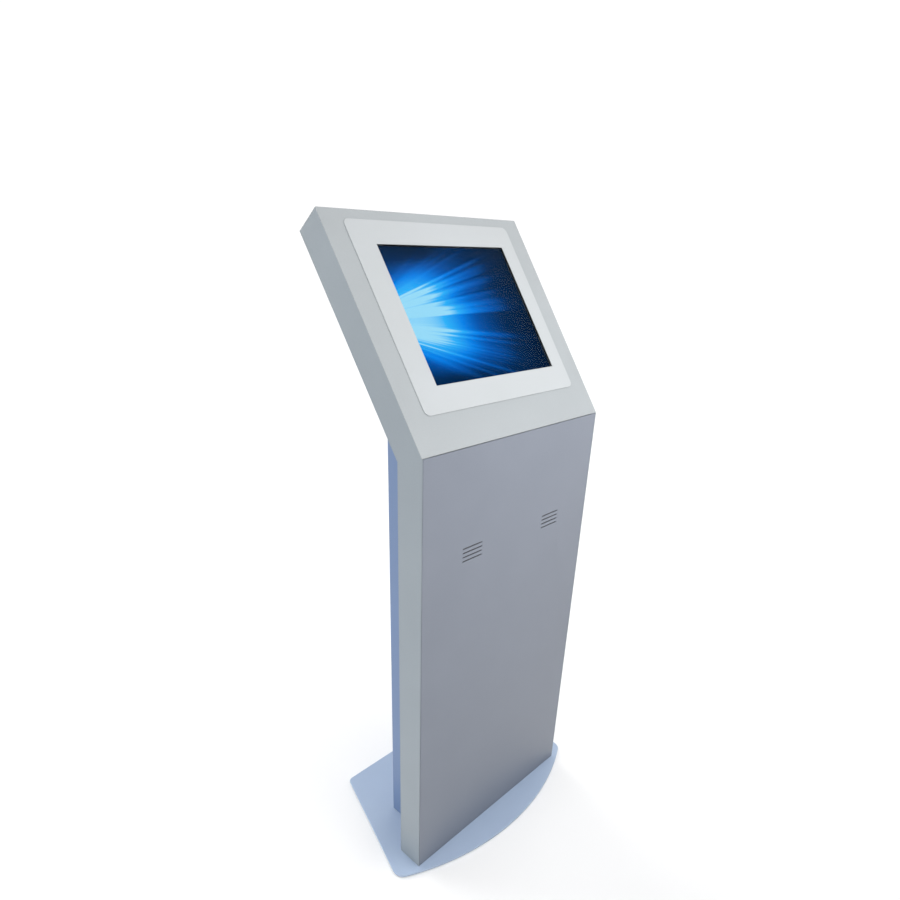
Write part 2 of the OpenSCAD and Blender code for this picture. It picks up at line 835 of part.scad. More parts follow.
module rear_door() {
    x = door_half - door_gap;
    z0 = door_z0 + door_gap;
    z1 = door_z1 - door_gap;
    inner_y = rear_y - sheet_t;
    color("#7a90b8") at_column() difference() {
        union() {
            block(-x, x, inner_y, rear_y, z0, z1);
            ring(sheet_t - x, x - sheet_t, z0 + sheet_t, z1 - sheet_t, sheet_t, rear_y - door_return,
                rear_y - sheet_t / 2);
        }
        for (z = [z0 + door_vent_end, z1 - door_vent_end])
            translate([0, 0, z]) slot_row(vent_l, vent_h, vent_pitch, vent_n, inner_y - past, rear_y + past);
        at_locks() rod_y(lock_r, inner_y - past, rear_y + past);
        at_hinge_screws(1) screw_hole(inner_y, rear_y);
    }
}

module at_hinges() {
    for (z = hinge_zs)
        translate([hinge_x, 0, z]) children();
}

// Screw positions of the hinges, on the frame side (-1) or on the door side (1).
module at_hinge_screws(side) {
    at_hinges() for (z = [-1, 1])
        translate([side * hinge_screw_x, 0, z * hinge_screw_z]) children();
}

// The leaves on the frame side (-1) or on the door side (1); every second knuckle is theirs, from the first.
module hinge_leaf(side, first) {
    inner = knuckle_r * 0.8;
    seg = hinge_l / knuckle_n;
    leaf_xs = [side * inner, side * (inner + hinge_leaf_w)];
    web_xs = [0, side * knuckle_r];
    difference() {
        at_hinges() {
            block(min(leaf_xs), max(leaf_xs), rear_y, leaf_face, -hinge_l / 2, hinge_l / 2);
            for (i = [first:2:knuckle_n - 1])
                translate([0, 0, i * seg - (hinge_l - knuckle_gap) / 2]) {
                    translate([0, hinge_y, 0]) cylinder(h = seg - knuckle_gap, r = knuckle_r);
                    block(min(web_xs), max(web_xs), rear_y + hinge_leaf_t / 3, hinge_y, 0, seg - knuckle_gap);
                }
        }
        at_hinges() translate([0, hinge_y, -hinge_l])
            cylinder(h = 2 * hinge_l, r = hinge_pin_r + running_gap);
        at_hinge_screws(side) screw_hole(rear_y, leaf_face);
    }
}

module hinge_frame_leaves() {
    color("#8d9299") at_column() hinge_leaf(-1, 0);
}

module hinge_door_leaves() {
    color("#8d9299") at_column() hinge_leaf(1, 1);
}

module hinge_pins() {
    color("#b9bcc0") at_column() at_hinges() translate([0, hinge_y, 0]) {
        translate([0, 0, -hinge_l / 2 - hinge_pin_out])
            cylinder(h = hinge_l + 2 * hinge_pin_out, r = hinge_pin_r);
        translate([0, 0, hinge_l / 2 + knuckle_gap]) cylinder(h = hinge_pin_head_t, r = knuckle_r - 0.5);
    }
}

module frame_hinge_screws() {
    color("#b9bcc0") at_column() at_hinge_screws(-1) translate([0, leaf_face, 0]) pan_screw(hinge_screw_l);
}

module door_hinge_screws() {
    color("#b9bcc0") at_column() at_hinge_screws(1) translate([0, leaf_face, 0]) pan_screw(hinge_screw_l);
}

module at_locks() {
    for (z = lock_zs)
        translate([lock_x, 0, z]) children();
}

module lock_bodies() {
    color("#c3c6ca") at_column() at_locks() difference() {
        union() {
            rod_y(lock_r + lock_rim_w, rear_y, rear_y + lock_rim_t);
            rod_y(lock_r - bore_gap, door_lip_y - 1, rear_y + lock_rim_t / 2);
            hex_y(lock_r + lock_nut_w, rear_y - sheet_t - lock_nut_h, rear_y - sheet_t);
        }
        rod_y(plug_r + running_gap, door_lip_y - 1 - past, rear_y + lock_rim_t + past);
    }
}

module lock_plug() {
    difference() {
        union() {
            rod_y(plug_r, door_lip_y - 1 - cam_gap, rear_y + lock_rim_t + cam_gap);
            rod_y(plug_tail_r, cam_y - cam_t - plug_tail_out, door_lip_y);
        }
        centred_block(key_slot_w, key_slot_h, rear_y - key_slot_d, rear_y + lock_rim_t + past);
    }
}

// The cam points straight up at rest and reaches behind the door's lip when the plug has turned.
module lock_cam() {
    difference() {
        union() {
            rod_y(cam_hub_r, cam_y - cam_t, cam_y);
            block(-cam_w / 2, cam_w / 2, cam_y - cam_t, cam_y, 0, cam_reach);
        }
        rod_y(plug_tail_r + tiny, cam_y - cam_t - past, cam_y + past);
    }
}

module upper_lock_plug() {
    color("#d6d8da") at_column() translate([lock_x, 0, lock_zs[1]]) lock_plug();
}

module lower_lock_plug() {
    color("#d6d8da") at_column() translate([lock_x, 0, lock_zs[0]]) lock_plug();
}

module upper_lock_cam() {
    color("#b9bcc0") at_column() translate([lock_x, 0, lock_zs[1]]) lock_cam();
}

module lower_lock_cam() {
    color("#b9bcc0") at_column() translate([lock_x, 0, lock_zs[0]]) lock_cam();
}

// ---------- monitor ----------

module at_screen() {
    at_head() translate([screen_shift, 0, screen_z]) children();
}

module bezel_plate() {
    color("#d3d8db") difference() {
        at_head() translate([0, 0, bezel_z])
            front_outline(rounded_rect(bezel_w, bezel_h, bezel_r), -bezel_t, 0);
        at_screen()
            centred_block(screen_w + 2 * window_margin, screen_h + 2 * window_margin, -bezel_t - past, past);
    }
}

module bezel_gasket() {
    half_w = screen_w / 2 + gasket_in;
    half_h = screen_h / 2 + gasket_in;
    color("#1f2124") at_screen()
        ring(-half_w, half_w, -half_h, half_h, glass_margin - gasket_in, 0, gasket_t);
}

module touch_glass() {
    color("#20344c") at_screen() centred_block(glass_w, glass_h, glass_y, lcd_y);
}

module lcd_panel() {
    color("#2a5d9c") at_screen()
        centred_block(screen_w + 2 * lcd_margin, screen_h + 2 * lcd_margin, lcd_y, lcd_y + lcd_t);
}

module monitor_chassis() {
    color("#8d9299") at_screen() difference() {
        centred_block(2 * chassis_half, chassis_h, sheet_t, chassis_back);
        centred_block(2 * (chassis_half - chassis_wall), chassis_h - 2 * chassis_wall,
            0, chassis_back - chassis_wall);
        for (x = [-1, 1], z = [-1, 1])
            translate([x * chassis_vent_x, 0, z * chassis_vent_z]) slot_row(chassis_vent_l, small_vent_h,
                small_vent_pitch, chassis_vent_n, chassis_back - chassis_wall - past, chassis_back + past);
    }
}

module monitor_cover() {
    cover_back = chassis_back + cover_d;
    color("#b9bcc0") difference() {
        at_head() translate([screen_shift, 0, cover_z]) difference() {
            centred_block(cover_w, cover_h, chassis_back, cover_back);
            for (z = [-1, 0, 1])
                translate([0, 0, z * cover_vent_pitch + small_vent_pitch])
                    slot_row(cover_vent_l, small_vent_h, small_vent_pitch, 2,
                        cover_back - cover_vent_d, cover_back + past);
        }
        at_monitor_button() translate([0, 0, -past])
            cylinder(h = monitor_key_h + past, r = monitor_key_r + running_gap);
    }
}

module at_monitor_button() {
    at_head() translate([monitor_key_x, chassis_back + cover_d / 2, cover_z - cover_h / 2]) children();
}

module monitor_button() {
    color("#26282b") at_monitor_button() translate([0, 0, -monitor_key_out])
        cylinder(h = monitor_key_h, r = monitor_key_r);
}

module monitor_brackets() {
    half = bracket_h / 2;
    color("#8d9299") at_screen() difference() {
        both_sides() {
            block(chassis_half, chassis_half + bracket_w, sheet_t, sheet_t + bracket_t, -half, half);
            block(chassis_half, chassis_half + bracket_t, sheet_t, sheet_t + bracket_d, -half, half);
        }
        for (x = [-1, 1], z = bracket_stud_zs)
            translate([x * bracket_stud_x, 0, z]) screw_hole(sheet_t, sheet_t + bracket_t);
    }
}

// ---------- loudspeakers ----------

module speaker_cloths() {
    side = speaker_side - 2;
    color("#26282b") at_column() difference() {
        at_speakers() centred_block(side, side, sheet_t, speaker_y);
        at_speaker_studs() screw_hole(sheet_t, speaker_y);
    }
}

module speaker_baskets() {
    half = speaker_side / 2;
    y0 = speaker_y;
    back = y0 + basket_d;
    color("#33363a") at_column() difference() {
        at_speakers() {
            difference() {
                centred_block(speaker_side, speaker_side, y0, y0 + basket_t);
                rod_y(half - 5, y0 - past, y0 + basket_t + past);
            }
            turned_y([[half - 5.5, y0 + 0.5], [half - 3.5, y0 + 0.5], [half - 12, back], [9, back],
                [9, back - 1.5], [half - 13, back - 1.5]]);
        }
        at_speaker_studs() screw_hole(y0, y0 + basket_t);
        at_speakers() for (a = [0, 90])
            rotate([0, a, 0]) centred_block(speaker_side, basket_window_w, y0 + 8, y0 + 17);
    }
}

module speaker_cones() {
    half = speaker_side / 2;
    y0 = speaker_y;
    color("#1f2124") at_column() at_speakers()
        turned_y([[0, y0 + 12], [7, y0 + 14.5], [half - 9, y0 + 1.8], [half - 7.2, y0], [half - 5.1, y0],
            [half - 5.1, y0 + 0.5], [half - 6.8, y0 + 0.5], [half - 8.6, y0 + 3], [8, y0 + 16], [8, y0 + 19],
            [6.5, y0 + 19], [6.5, y0 + 15.5], [0, y0 + 13.3]]);
}

module speaker_magnets() {
    front = speaker_y + basket_d;
    back = front + magnet_plate_t + magnet_t;
    color("#5c6066") at_column() at_speakers() {
        rod_y(magnet_plate_r, front, front + magnet_plate_t);
        rod_y(magnet_r, front + magnet_plate_t, back);
        rod_y(magnet_plate_r, back, magnet_back);
    }
}

// ---------- fans ----------

module fan_frames() {
    color("#26282b") at_head() at_fans() difference() {
        union() {
            difference() {
                front_outline(rounded_rect(fan_side, fan_side, fan_corner_r), fan_y, fan_y + fan_t);
                rod_y(fan_bore, fan_y - past, fan_y + fan_t + past);
            }
            rod_y(motor_r, fan_y, fan_y + motor_t);
            for (a = [30, 150, 270])
                rotate([0, a, 0])
                    block(0, fan_bore + past, fan_y, fan_y + motor_t, -spider_w / 2, spider_w / 2);
        }
        rod_y(rotor_pin_r + running_gap, fan_y - past, fan_y + motor_t + past);
        at_fan_corners() screw_hole(fan_y, fan_y + fan_t);
    }
}

module fan_rotor() {
    front = fan_y + motor_t + rotor_gap;
    back = fan_y + fan_t - rotor_back_gap;
    rod_y(rotor_pin_r, fan_y + 0.5, front + past);
    rod_y(rotor_hub_r, front, back);
    for (i = [0:blade_n - 1])
        rotate([0, i * 360 / blade_n, 0]) translate([0, (front + back) / 2, 0]) rotate([blade_pitch, 0, 0])
            block(rotor_hub_r - past, fan_bore - blade_gap,
                -blade_w / 2, blade_w / 2, -blade_t / 2, blade_t / 2);
}

module left_fan_rotor() {
    color("#33363a") at_head() translate([-fan_x, 0, fan_s]) fan_rotor();
}

module right_fan_rotor() {
    color("#33363a") at_head() translate([fan_x, 0, fan_s]) fan_rotor();
}

module fan_guards() {
    color("#b9bcc0") at_head() at_fans() difference() {
        union() {
            for (r = guard_rings)
                difference() {
                    rod_y(r + guard_w / 2, shell_d, guard_back);
                    rod_y(r - guard_w / 2, shell_d - past, guard_back + past);
                }
            for (a = [45:90:315])
                rotate([0, a, 0]) block(guard_rings[0] - guard_w, fan_screw_x * sqrt(2), shell_d, guard_back,
                    -guard_arm_w / 2, guard_arm_w / 2);
            at_fan_corners() rod_y(guard_foot_r, shell_d, guard_back);
        }
        at_fan_corners() screw_hole(shell_d, guard_back);
    }
}

module fan_screws() {
    color("#b9bcc0") at_head() at_fan_screws() translate([0, guard_back, 0]) pan_screw(fan_t - 2);
}

module head_grommet() {
    color("#1f2124") at_head() translate([0, 0, grommet_s]) difference() {
        union() {
            rod_y(grommet_r + grommet_lip, shell_d, shell_d + grommet_lip_t);
            rod_y(grommet_r - bore_gap, shell_d - sheet_t, shell_d + grommet_lip_t);
        }
        rod_y(grommet_r - grommet_wall, shell_d - sheet_t - past, shell_d + grommet_lip_t + past);
    }
}

// ---------- computer and mains ----------

module shelf_brackets() {
    wall = box_half - sheet_t;
    z = shelf_z - sheet_t;
    y0 = shell_d + 10;
    y1 = rear_y - shelf_short - 4;
    color("#8d9299") at_column() both_sides() {
        block(wall - shelf_bracket_t, wall, y0, y1, z - shelf_bracket_h, z);
        block(wall - shelf_bracket_w, wall, y0, y1, z - shelf_bracket_t, z);
    }
}

module computer_shelf() {
    half = box_half - sheet_t - shelf_gap;
    y0 = shell_d + sheet_t + shelf_gap;
    y1 = rear_y - shelf_short;
    z0 = shelf_z - sheet_t;
    notch_end = half - shelf_notch_in;
    color("#8d9299") at_column() difference() {
        union() {
            block(-half, half, y0, y1, z0, shelf_z);
            block(-half, half, y0, y0 + sheet_t, z0, shelf_z + shelf_lip_h);
            block(-half, half, y1 - sheet_t, y1, z0, shelf_z + shelf_lip_h);
        }
        both_sides() block(notch_end - shelf_notch_w, notch_end, y0 + 26, y1 - 14, z0 - past, shelf_z + past);
        for (i = [-4:4])
            translate([i * shelf_vent_pitch, 0, 0])
                block(-shelf_vent_w / 2, shelf_vent_w / 2, y0 + 18, y1 - 18, z0 - past, shelf_z + past);
    }
}

module computer_case() {
    half = pc_w / 2;
    face = pc_y + pc_d;
    color("#33363a") at_column() difference() {
        union() {
            block(-half, half, pc_y, face, pc_z, pc_z + pc_h);
            for (x = [-1, 1], y = [pc_foot_in, pc_d - pc_foot_in])
                translate([x * (half - pc_foot_in), pc_y + y, shelf_z])
                    cylinder(h = pc_foot_h + past, r = pc_foot_r);
        }
        translate([-0.1 * pc_w, 0, pc_z + 0.45 * pc_h])
            slot_row(0.6 * pc_w, small_vent_h, small_vent_pitch, 10, face - pc_vent_d, face + past);
        translate([pc_key_x, 0, pc_key_z]) rod_y(pc_key_r + running_gap, face - pc_key_in - 2, face + past);
        for (i = [0:3])
            translate([pc_key_x, 0, pc_z + 23 + i * pc_port_pitch])
                centred_block(pc_port_w, pc_port_h, face - pc_port_d, face + past);
    }
}

module computer_button() {
    color("#c3c6ca") at_column() translate([pc_key_x, pc_y + pc_d, pc_key_z])
        rod_y(pc_key_r, -pc_key_in, pc_key_out);
}

// A rocker turned back about the X axis to its rest tilt; its pivot pin is at the origin.
module rocker() {
    h = rocker_h / 2;
    front = rocker_sink + rocker_dip;
    ear = front + rocker_ear;
    half = rocker_w / 2;
    rotate([-rocker_tilt, 0, 0]) {
        side_profile([[-rocker_d, 1 - h], [ear, -h], [front, 0], [ear, h], [-rocker_d, h - 1]], -half, half);
        side_profile(arc([0, 0], rocker_pin_r, 0, 345, 23), -half - rocker_pin_out, half + rocker_pin_out);
    }
}

// The space for a rocker in a face at one depth, with the bore for its pivot pin.
module rocker_opening(face_y) {
    half = rocker_w / 2 + fit_gap;
    centred_block(2 * half, rocker_h + 8 * fit_gap, face_y - rocker_well_d, face_y + past);
    translate([-half - rocker_pin_out, face_y - rocker_sink, 0]) rotate([0, 90, 0])
        cylinder(h = 2 * (half + rocker_pin_out), r = rocker_pin_r + running_gap);
}

module power_strip() {
    color("#d3d8db") at_column() difference() {
        translate([0, 0, strip_z]) centred_block(strip_l, strip_h, strip_y, strip_face);
        translate([strip_rocker_x, 0, strip_z]) rocker_opening(strip_face);
        for (x = outlet_xs)
            translate([x, 0, strip_z]) {
                rod_y(outlet_r, outlet_floor, strip_face + past);
                for (side = [-1, 1])
                    translate([side * outlet_pin_x, 0, 0])
                        rod_y(outlet_pin_r + outlet_pin_gap, outlet_floor - outlet_pin_l - 2, strip_face);
            }
    }
}

module strip_rocker() {
    color("#c8452f") at_column() translate([strip_rocker_x, strip_face - rocker_sink, strip_z]) rocker();
}

module power_plugs() {
    color("#26282b") at_column() for (x = [outlet_xs[0], outlet_xs[2]])
        translate([x, 0, strip_z]) {
            rod_y(power_plug_r, outlet_floor, plug_back);
            rod_y(plug_neck_r, plug_back - past, plug_back + plug_neck_l);
            rod_y(plug_relief_r, plug_back + plug_neck_l - past, plug_back + plug_neck_l + plug_relief_l);
            for (side = [-1, 1])
                translate([side * outlet_pin_x, 0, 0])
                    rod_y(outlet_pin_r, outlet_floor - outlet_pin_l, outlet_floor + past);
        }
}

module service_panel() {
    color("#7a90b8") at_column() difference() {
        translate([0, 0, service_z]) front_outline(rounded_rect(service_w, service_h, 4), rear_y, panel_face);
        at_service_screws() screw_hole(rear_y, panel_face);
        translate([inlet_x, 0, service_z]) centred_block(inlet_w, inlet_h, rear_y - past, panel_face + past);
        translate([jack_x, 0, service_z]) rod_y(jack_r + jack_gap, rear_y - past, panel_face + past);
    }
}

module mains_inlet() {
    rim = rounded_rect(inlet_w + 2 * inlet_rim_w, inlet_h + 2 * inlet_rim_w, inlet_rim_w);
    color("#26282b") at_column() translate([inlet_x, 0, 0]) difference() {
        translate([0, 0, service_z]) {
            front_outline(rim, panel_face, inlet_face);
            centred_block(inlet_w - fit_gap, inlet_h - fit_gap, rear_y - inlet_d, panel_face + past);
        }
        translate([0, 0, inlet_socket_z])
            centred_block(socket_w, socket_h, inlet_face - socket_d, inlet_face + past);
        translate([0, 0, inlet_rocker_z]) rocker_opening(inlet_face);
    }
}

module inlet_pins() {
    color("#c9b27a") at_column() translate([inlet_x, 0, inlet_socket_z]) {
        for (side = [-1, 0, 1])
            translate([side * socket_pin_pitch, 0, side == 0 ? 3 : -1])
                centred_block(socket_pin_t, socket_pin_h, inlet_face - socket_d, inlet_face - socket_pin_in);
    }
}

module inlet_rocker() {
    color("#c8452f") at_column() translate([inlet_x, inlet_face - rocker_sink, inlet_rocker_z]) rocker();
}

module network_jack() {
    jack_face = panel_face + jack_rim_t;
    color("#5c6066") at_column() translate([jack_x, 0, service_z]) difference() {
        union() {
            front_outline(rounded_rect(jack_rim_w, jack_rim_h, inlet_rim_w), panel_face, jack_face);
            rod_y(jack_r, rear_y - jack_d, panel_face + past);
        }
        centred_block(jack_port_w, jack_port_h, rear_y - jack_port_d, jack_face + past);
        block(-jack_key_w / 2, jack_key_w / 2, rear_y - jack_port_d, jack_face + past,
            -jack_port_h / 2 - jack_key_h, 0);
    }
}

// ---------- leads ----------

function unit(v) = v / norm(v);

// A smooth curve through the points p, k steps between each two.
function between(p, i, t) =
    let (a = p[max(i - 1, 0)], b = p[i], c = p[i + 1], d = p[min(i + 2, len(p) - 1)])
    b + 0.5 * (t * (c - a) + t * t * (2 * a - 5 * b + 4 * c - d) + t * t * t * (3 * b - a - 3 * c + d));
function smooth(p, k) =
    concat([for (i = [0:len(p) - 2], j = [0:k - 1]) between(p, i, j / k)], [p[len(p) - 1]]);
function headings(p, first, last) = [for (i = [0:len(p) - 1])
    i == 0 ? first : i == len(p) - 1 ? last : unit(p[i + 1] - p[i - 1])];
function square_to(u, t) = unit(u - (u * t) * t);
function carried(h) = [for (i = 0, u = square_to([0.6, 0.5, 0.62], h[0]); i < len(h);
    i = i + 1, u = i < len(h) ? square_to(u, h[i]) : u) u];

lead_sides = 8;

module lead(points, r) {
    p = smooth(points, 2);
    end = len(points) - 1;
    h = headings(p, unit(points[1] - points[0]), unit(points[end] - points[end - 1]));
    u = carried(h);
    n = lead_sides;
    last = len(p) - 1;
    polyhedron(
        points = [for (i = [0:last], k = [0:n - 1])
            p[i] + r * (cos(k * 360 / n) * u[i] + sin(k * 360 / n) * cross(h[i], u[i]))],
        faces = concat(
            [[for (k = [0:n - 1]) k]],
            [for (i = [0:last - 1], k = [0:n - 1])
                [i * n + k, (i + 1) * n + k, (i + 1) * n + (k + 1) % n]],
            [for (i = [0:last - 1], k = [0:n - 1])
                [i * n + k, (i + 1) * n + (k + 1) % n, i * n + (k + 1) % n]],
            [[for (k = [n - 1:-1:0]) last * n + k]]));
}

lead_gap = 0.2;                                         // between a lead's end and the piece it enters
plug_end = plug_back + plug_neck_l + plug_relief_l + lead_gap;
grommet_yz = head_yz(shell_d, grommet_s);
cover_foot = cover_z - cover_h / 2 - lead_gap;
cover_mid_y = chassis_back + cover_d / 2;
shelf_notch_x = box_half - sheet_t - shelf_gap - shelf_notch_in - shelf_notch_w / 2;
pc_mid_y = pc_y + pc_d / 2;
pc_top = pc_z + pc_h + lead_gap;
inlet_back = rear_y - inlet_d - lead_gap;
jack_back = rear_y - jack_d - lead_gap;
magnet_end = magnet_back + lead_gap;
supply_r = 3.5;
lead_r = 3;
network_r = 2.8;
speaker_lead_r = 1.8;

stub = 12;                                              // straight length where a lead leaves a piece

supply_path = [[inlet_x, inlet_back, service_z], [inlet_x, inlet_back - stub, service_z],
    [-strip_l / 2 + 40, shell_d + 60, service_z + 26], [-strip_l / 2 - 24, shell_d + 36, strip_z - 140],
    [-strip_l / 2 - 50, shell_d + 24, strip_z - 50],
    [-strip_l / 2 - stub - 2, shell_d + strip_d / 2, strip_z],
    [-strip_l / 2 - lead_gap, shell_d + strip_d / 2, strip_z]];
computer_path = [[outlet_xs[0], plug_end, strip_z], [outlet_xs[0], plug_end + stub, strip_z],
    [outlet_xs[0] - 16, plug_end + 18, strip_z + 26], [-130, plug_end + 4, strip_z + 130],
    [-shelf_notch_x, pc_mid_y + 2, shelf_z - 50], [-shelf_notch_x, pc_mid_y, shelf_z + 30],
    [-pc_w / 2 - stub, pc_mid_y, pc_z + 60], [-pc_w / 2 - lead_gap, pc_mid_y, pc_z + 60]];
monitor_path = [[outlet_xs[2], plug_end, strip_z], [outlet_xs[2], plug_end + stub, strip_z],
    [outlet_xs[2] + 16, plug_end + 18, strip_z + 26], [130, plug_end + 4, strip_z + 130],
    [shelf_notch_x - 6, pc_mid_y + 6, shelf_z - 50], [shelf_notch_x - 6, pc_mid_y + 6, shelf_z + 70],
    [112, pc_mid_y + 6, shelf_z + 270], [36, grommet_yz[0] + 14, grommet_yz[1] - 110],
    head_xyz(7, shell_d + 22, grommet_s - 8), head_xyz(6, shell_d - 6, grommet_s + 1),
    head_xyz(10, cover_mid_y, cover_foot - stub), head_xyz(10, cover_mid_y, cover_foot)];
video_path = [[-50, pc_mid_y, pc_top], [-50, pc_mid_y, pc_top + stub],
    [-26, grommet_yz[0] + 10, grommet_yz[1] - 130],
    head_xyz(-7, shell_d + 22, grommet_s - 8), head_xyz(-6, shell_d - 6, grommet_s + 1),
    head_xyz(-10, cover_mid_y, cover_foot - stub), head_xyz(-10, cover_mid_y, cover_foot)];
network_path = [[jack_x, jack_back, service_z], [jack_x, jack_back - stub, service_z],
    [strip_l / 2, shell_d + 56, service_z + 80], [strip_l / 2 + 48, shell_d + 34, strip_z],
    [shelf_notch_x + 6, shell_d + 42, shelf_z - 40], [shelf_notch_x + 2, shell_d + 42, shelf_z + 24],
    [pc_w / 2 + stub, shell_d + 40, pc_z + 50], [pc_w / 2 + lead_gap, shell_d + 40, pc_z + 50]];
speaker_path = [[24, pc_mid_y, pc_top], [24, pc_mid_y, pc_top + stub],
    [70, shell_d + 18, speaker_z + 4], [speaker_x - 26, shell_d - 10, speaker_z + 4],
    [speaker_x, magnet_end + stub, speaker_z], [speaker_x, magnet_end, speaker_z]];

module supply_lead() {
    color("#1f2124") at_column() lead(supply_path, supply_r);
}

module equipment_leads() {
    color("#1f2124") at_column() {
        lead(computer_path, lead_r);
        lead(monitor_path, lead_r);
    }
}

module video_lead() {
    color("#1f2124") at_column() lead(video_path, lead_r);
}

module network_lead() {
    color("#3f6fae") at_column() lead(network_path, network_r);
}

module speaker_leads() {
    color("#b03a34") at_column() {
        lead(speaker_path, speaker_lead_r);
        lead([for (q = speaker_path) [-q[0], q[1], q[2]]], speaker_lead_r);
    }
}

base_plate();
base_pads();
column_bolts();
base_grommet();
left_cheek();
right_cheek();
front_panel();
head_face();
flange_nuts();
head_back();
column_back();
panel_screws();
rear_housing();
service_panel();
mains_inlet();
inlet_pins();
inlet_rocker();
network_jack();
rear_door();
hinge_frame_leaves();
hinge_door_leaves();
hinge_pins();
frame_hinge_screws();
door_hinge_screws();
lock_bodies();
upper_lock_plug();
lower_lock_plug();
upper_lock_cam();
lower_lock_cam();
bezel_plate();
bezel_gasket();
touch_glass();
lcd_panel();
monitor_chassis();
monitor_cover();
monitor_button();
monitor_brackets();
speaker_cloths();
speaker_baskets();
speaker_cones();
speaker_magnets();
fan_frames();
left_fan_rotor();
right_fan_rotor();
fan_guards();
fan_screws();
computer_shelf();
shelf_brackets();
computer_case();
computer_button();
power_strip();
strip_rocker();
power_plugs();
head_grommet();
supply_lead();
equipment_leads();
video_lead();
network_lead();
speaker_leads();
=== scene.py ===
"""Free-standing touchscreen kiosk: finishes, eased edges, screws, fan guards and lit display for
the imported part, with the floor, light and camera it is shown with.

Metres, in the part's own frame: +X right seen from the front, +Y towards the rear, +Z up.
"""
import json
import math

import bmesh
import bpy
from mathutils import Matrix, Vector


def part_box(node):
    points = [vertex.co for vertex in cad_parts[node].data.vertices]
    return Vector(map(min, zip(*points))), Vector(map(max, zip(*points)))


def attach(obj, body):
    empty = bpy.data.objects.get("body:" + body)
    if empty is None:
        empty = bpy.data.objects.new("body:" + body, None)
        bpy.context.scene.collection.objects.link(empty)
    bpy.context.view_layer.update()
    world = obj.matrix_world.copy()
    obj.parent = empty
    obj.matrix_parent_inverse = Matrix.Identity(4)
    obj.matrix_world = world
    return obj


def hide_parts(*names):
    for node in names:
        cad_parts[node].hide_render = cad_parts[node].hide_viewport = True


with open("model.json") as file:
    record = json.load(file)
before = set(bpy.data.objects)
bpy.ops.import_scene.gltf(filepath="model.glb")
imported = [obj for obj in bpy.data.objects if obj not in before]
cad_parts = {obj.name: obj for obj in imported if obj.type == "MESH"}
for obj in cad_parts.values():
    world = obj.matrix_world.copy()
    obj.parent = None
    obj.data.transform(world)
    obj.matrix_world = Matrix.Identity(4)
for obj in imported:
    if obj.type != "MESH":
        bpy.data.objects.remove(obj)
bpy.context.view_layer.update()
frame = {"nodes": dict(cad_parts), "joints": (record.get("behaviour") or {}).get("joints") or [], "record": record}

MM = 0.001
weld = 0.002 * MM               # corners nearer than this are one
scene = bpy.context.scene
nodes = frame["nodes"]
record = frame["record"]
slot_of = {row["node"]: row["material_slot"] for row in record["subparts"]}
body_of = {node: body for body, group in record["behaviour"]["bodies"].items() for node in group}
fan_axis = next(j["axis"] for j in frame["joints"] if j["name"] == "left_fan_spin")
face_tilt = math.atan2(-fan_axis[2], fan_axis[1])


def middle(node):
    low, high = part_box(node)
    return (low + high) / 2


# ---------------------------------------------------------------- node trees


def add(tree, kind, inputs=None, **settings):
    """Adds a node. Settings are its properties; inputs gives its sockets values or outputs."""
    node = tree.nodes.new(kind)
    for key, value in settings.items():
        setattr(node, key, value)
    for key, value in (inputs or {}).items():
        if isinstance(value, bpy.types.NodeSocket):
            tree.links.new(value, node.inputs[key])
        else:
            node.inputs[key].default_value = value
    return node


def maths(tree, kind, *values):
    """One arithmetic step on numbers or sockets."""
    return add(tree, "ShaderNodeMath", dict(enumerate(values)), operation=kind).outputs[0]


def mixed(tree, share, first, second):
    """The number that lies a share of the way from the first to the second."""
    return add(tree, "ShaderNodeMix", {0: share, 2: first, 3: second},
               data_type="FLOAT").outputs[0]


def ranged(tree, value, span, result, **settings):
    """A value carried from one span of numbers to another, and held within it."""
    return add(tree, "ShaderNodeMapRange", {0: value, 1: span[0], 2: span[1],
                                            3: result[0], 4: result[1]}, **settings).outputs[0]


def vector(tree, x=0.0, y=0.0, z=0.0):
    return add(tree, "ShaderNodeCombineXYZ", {0: x, 1: y, 2: z}).outputs[0]


# ---------------------------------------------------------------- materials

grain_share = 0.35              # how much of the change of shade follows the grain
shade_span = (0.32, 0.68)       # of the blended noise, from the dark shade to the light one
gloss_span = (0.3, 0.7)         # of the same, from the lowest roughness to the highest
wave_scale = 0.314              # of a wave texture with one wave per metre


def linear(colour):
    """A sRGB hex colour as linear RGBA."""
    channels = [int(colour[i:i + 2], 16) / 255 for i in (1, 3, 5)]
    return [c / 12.92 if c <= 0.04045 else ((c + 0.055) / 1.055) ** 2.4
            for c in channels] + [1.0]


def new_material(name, **sockets):
    """A material with one Principled shader, its tree, its shader and Object coordinates."""
    material = bpy.data.materials.new(name)
    material.use_nodes = True
    tree = material.node_tree
    shader = tree.nodes["Principled BSDF"]
    for key, value in sockets.items():
        shader.inputs[key.replace("_", " ")].default_value = value
    where = add(tree, "ShaderNodeTexCoord").outputs["Object"]
    return material, tree, shader, where


def noise(tree, where, size, detail, **inputs):
    """Noise with features of a size in mm."""
    return add(tree, "ShaderNodeTexNoise",
               {"Vector": where, "Scale": 1 / (size * MM), "Detail": detail, **inputs}).outputs[0]


def two_shades(tree, share, first, second):
    return add(tree, "ShaderNodeMix", {0: share, 6: linear(first), 7: linear(second)},
               data_type="RGBA").outputs[2]


def surface(tree, shader, colour, gloss):
    tree.links.new(colour, shader.inputs["Base Color"])
    tree.links.new(gloss, shader.inputs["Roughness"])


def raised(tree, shader, height, relief, strength=1.0):
    """Bump from a height of 0 to 1, which stands for a relief in mm."""
    bump = add(tree, "ShaderNodeBump",
               {"Strength": strength, "Distance": relief * MM, "Height": height}).outputs[0]
    tree.links.new(bump, shader.inputs["Normal"])


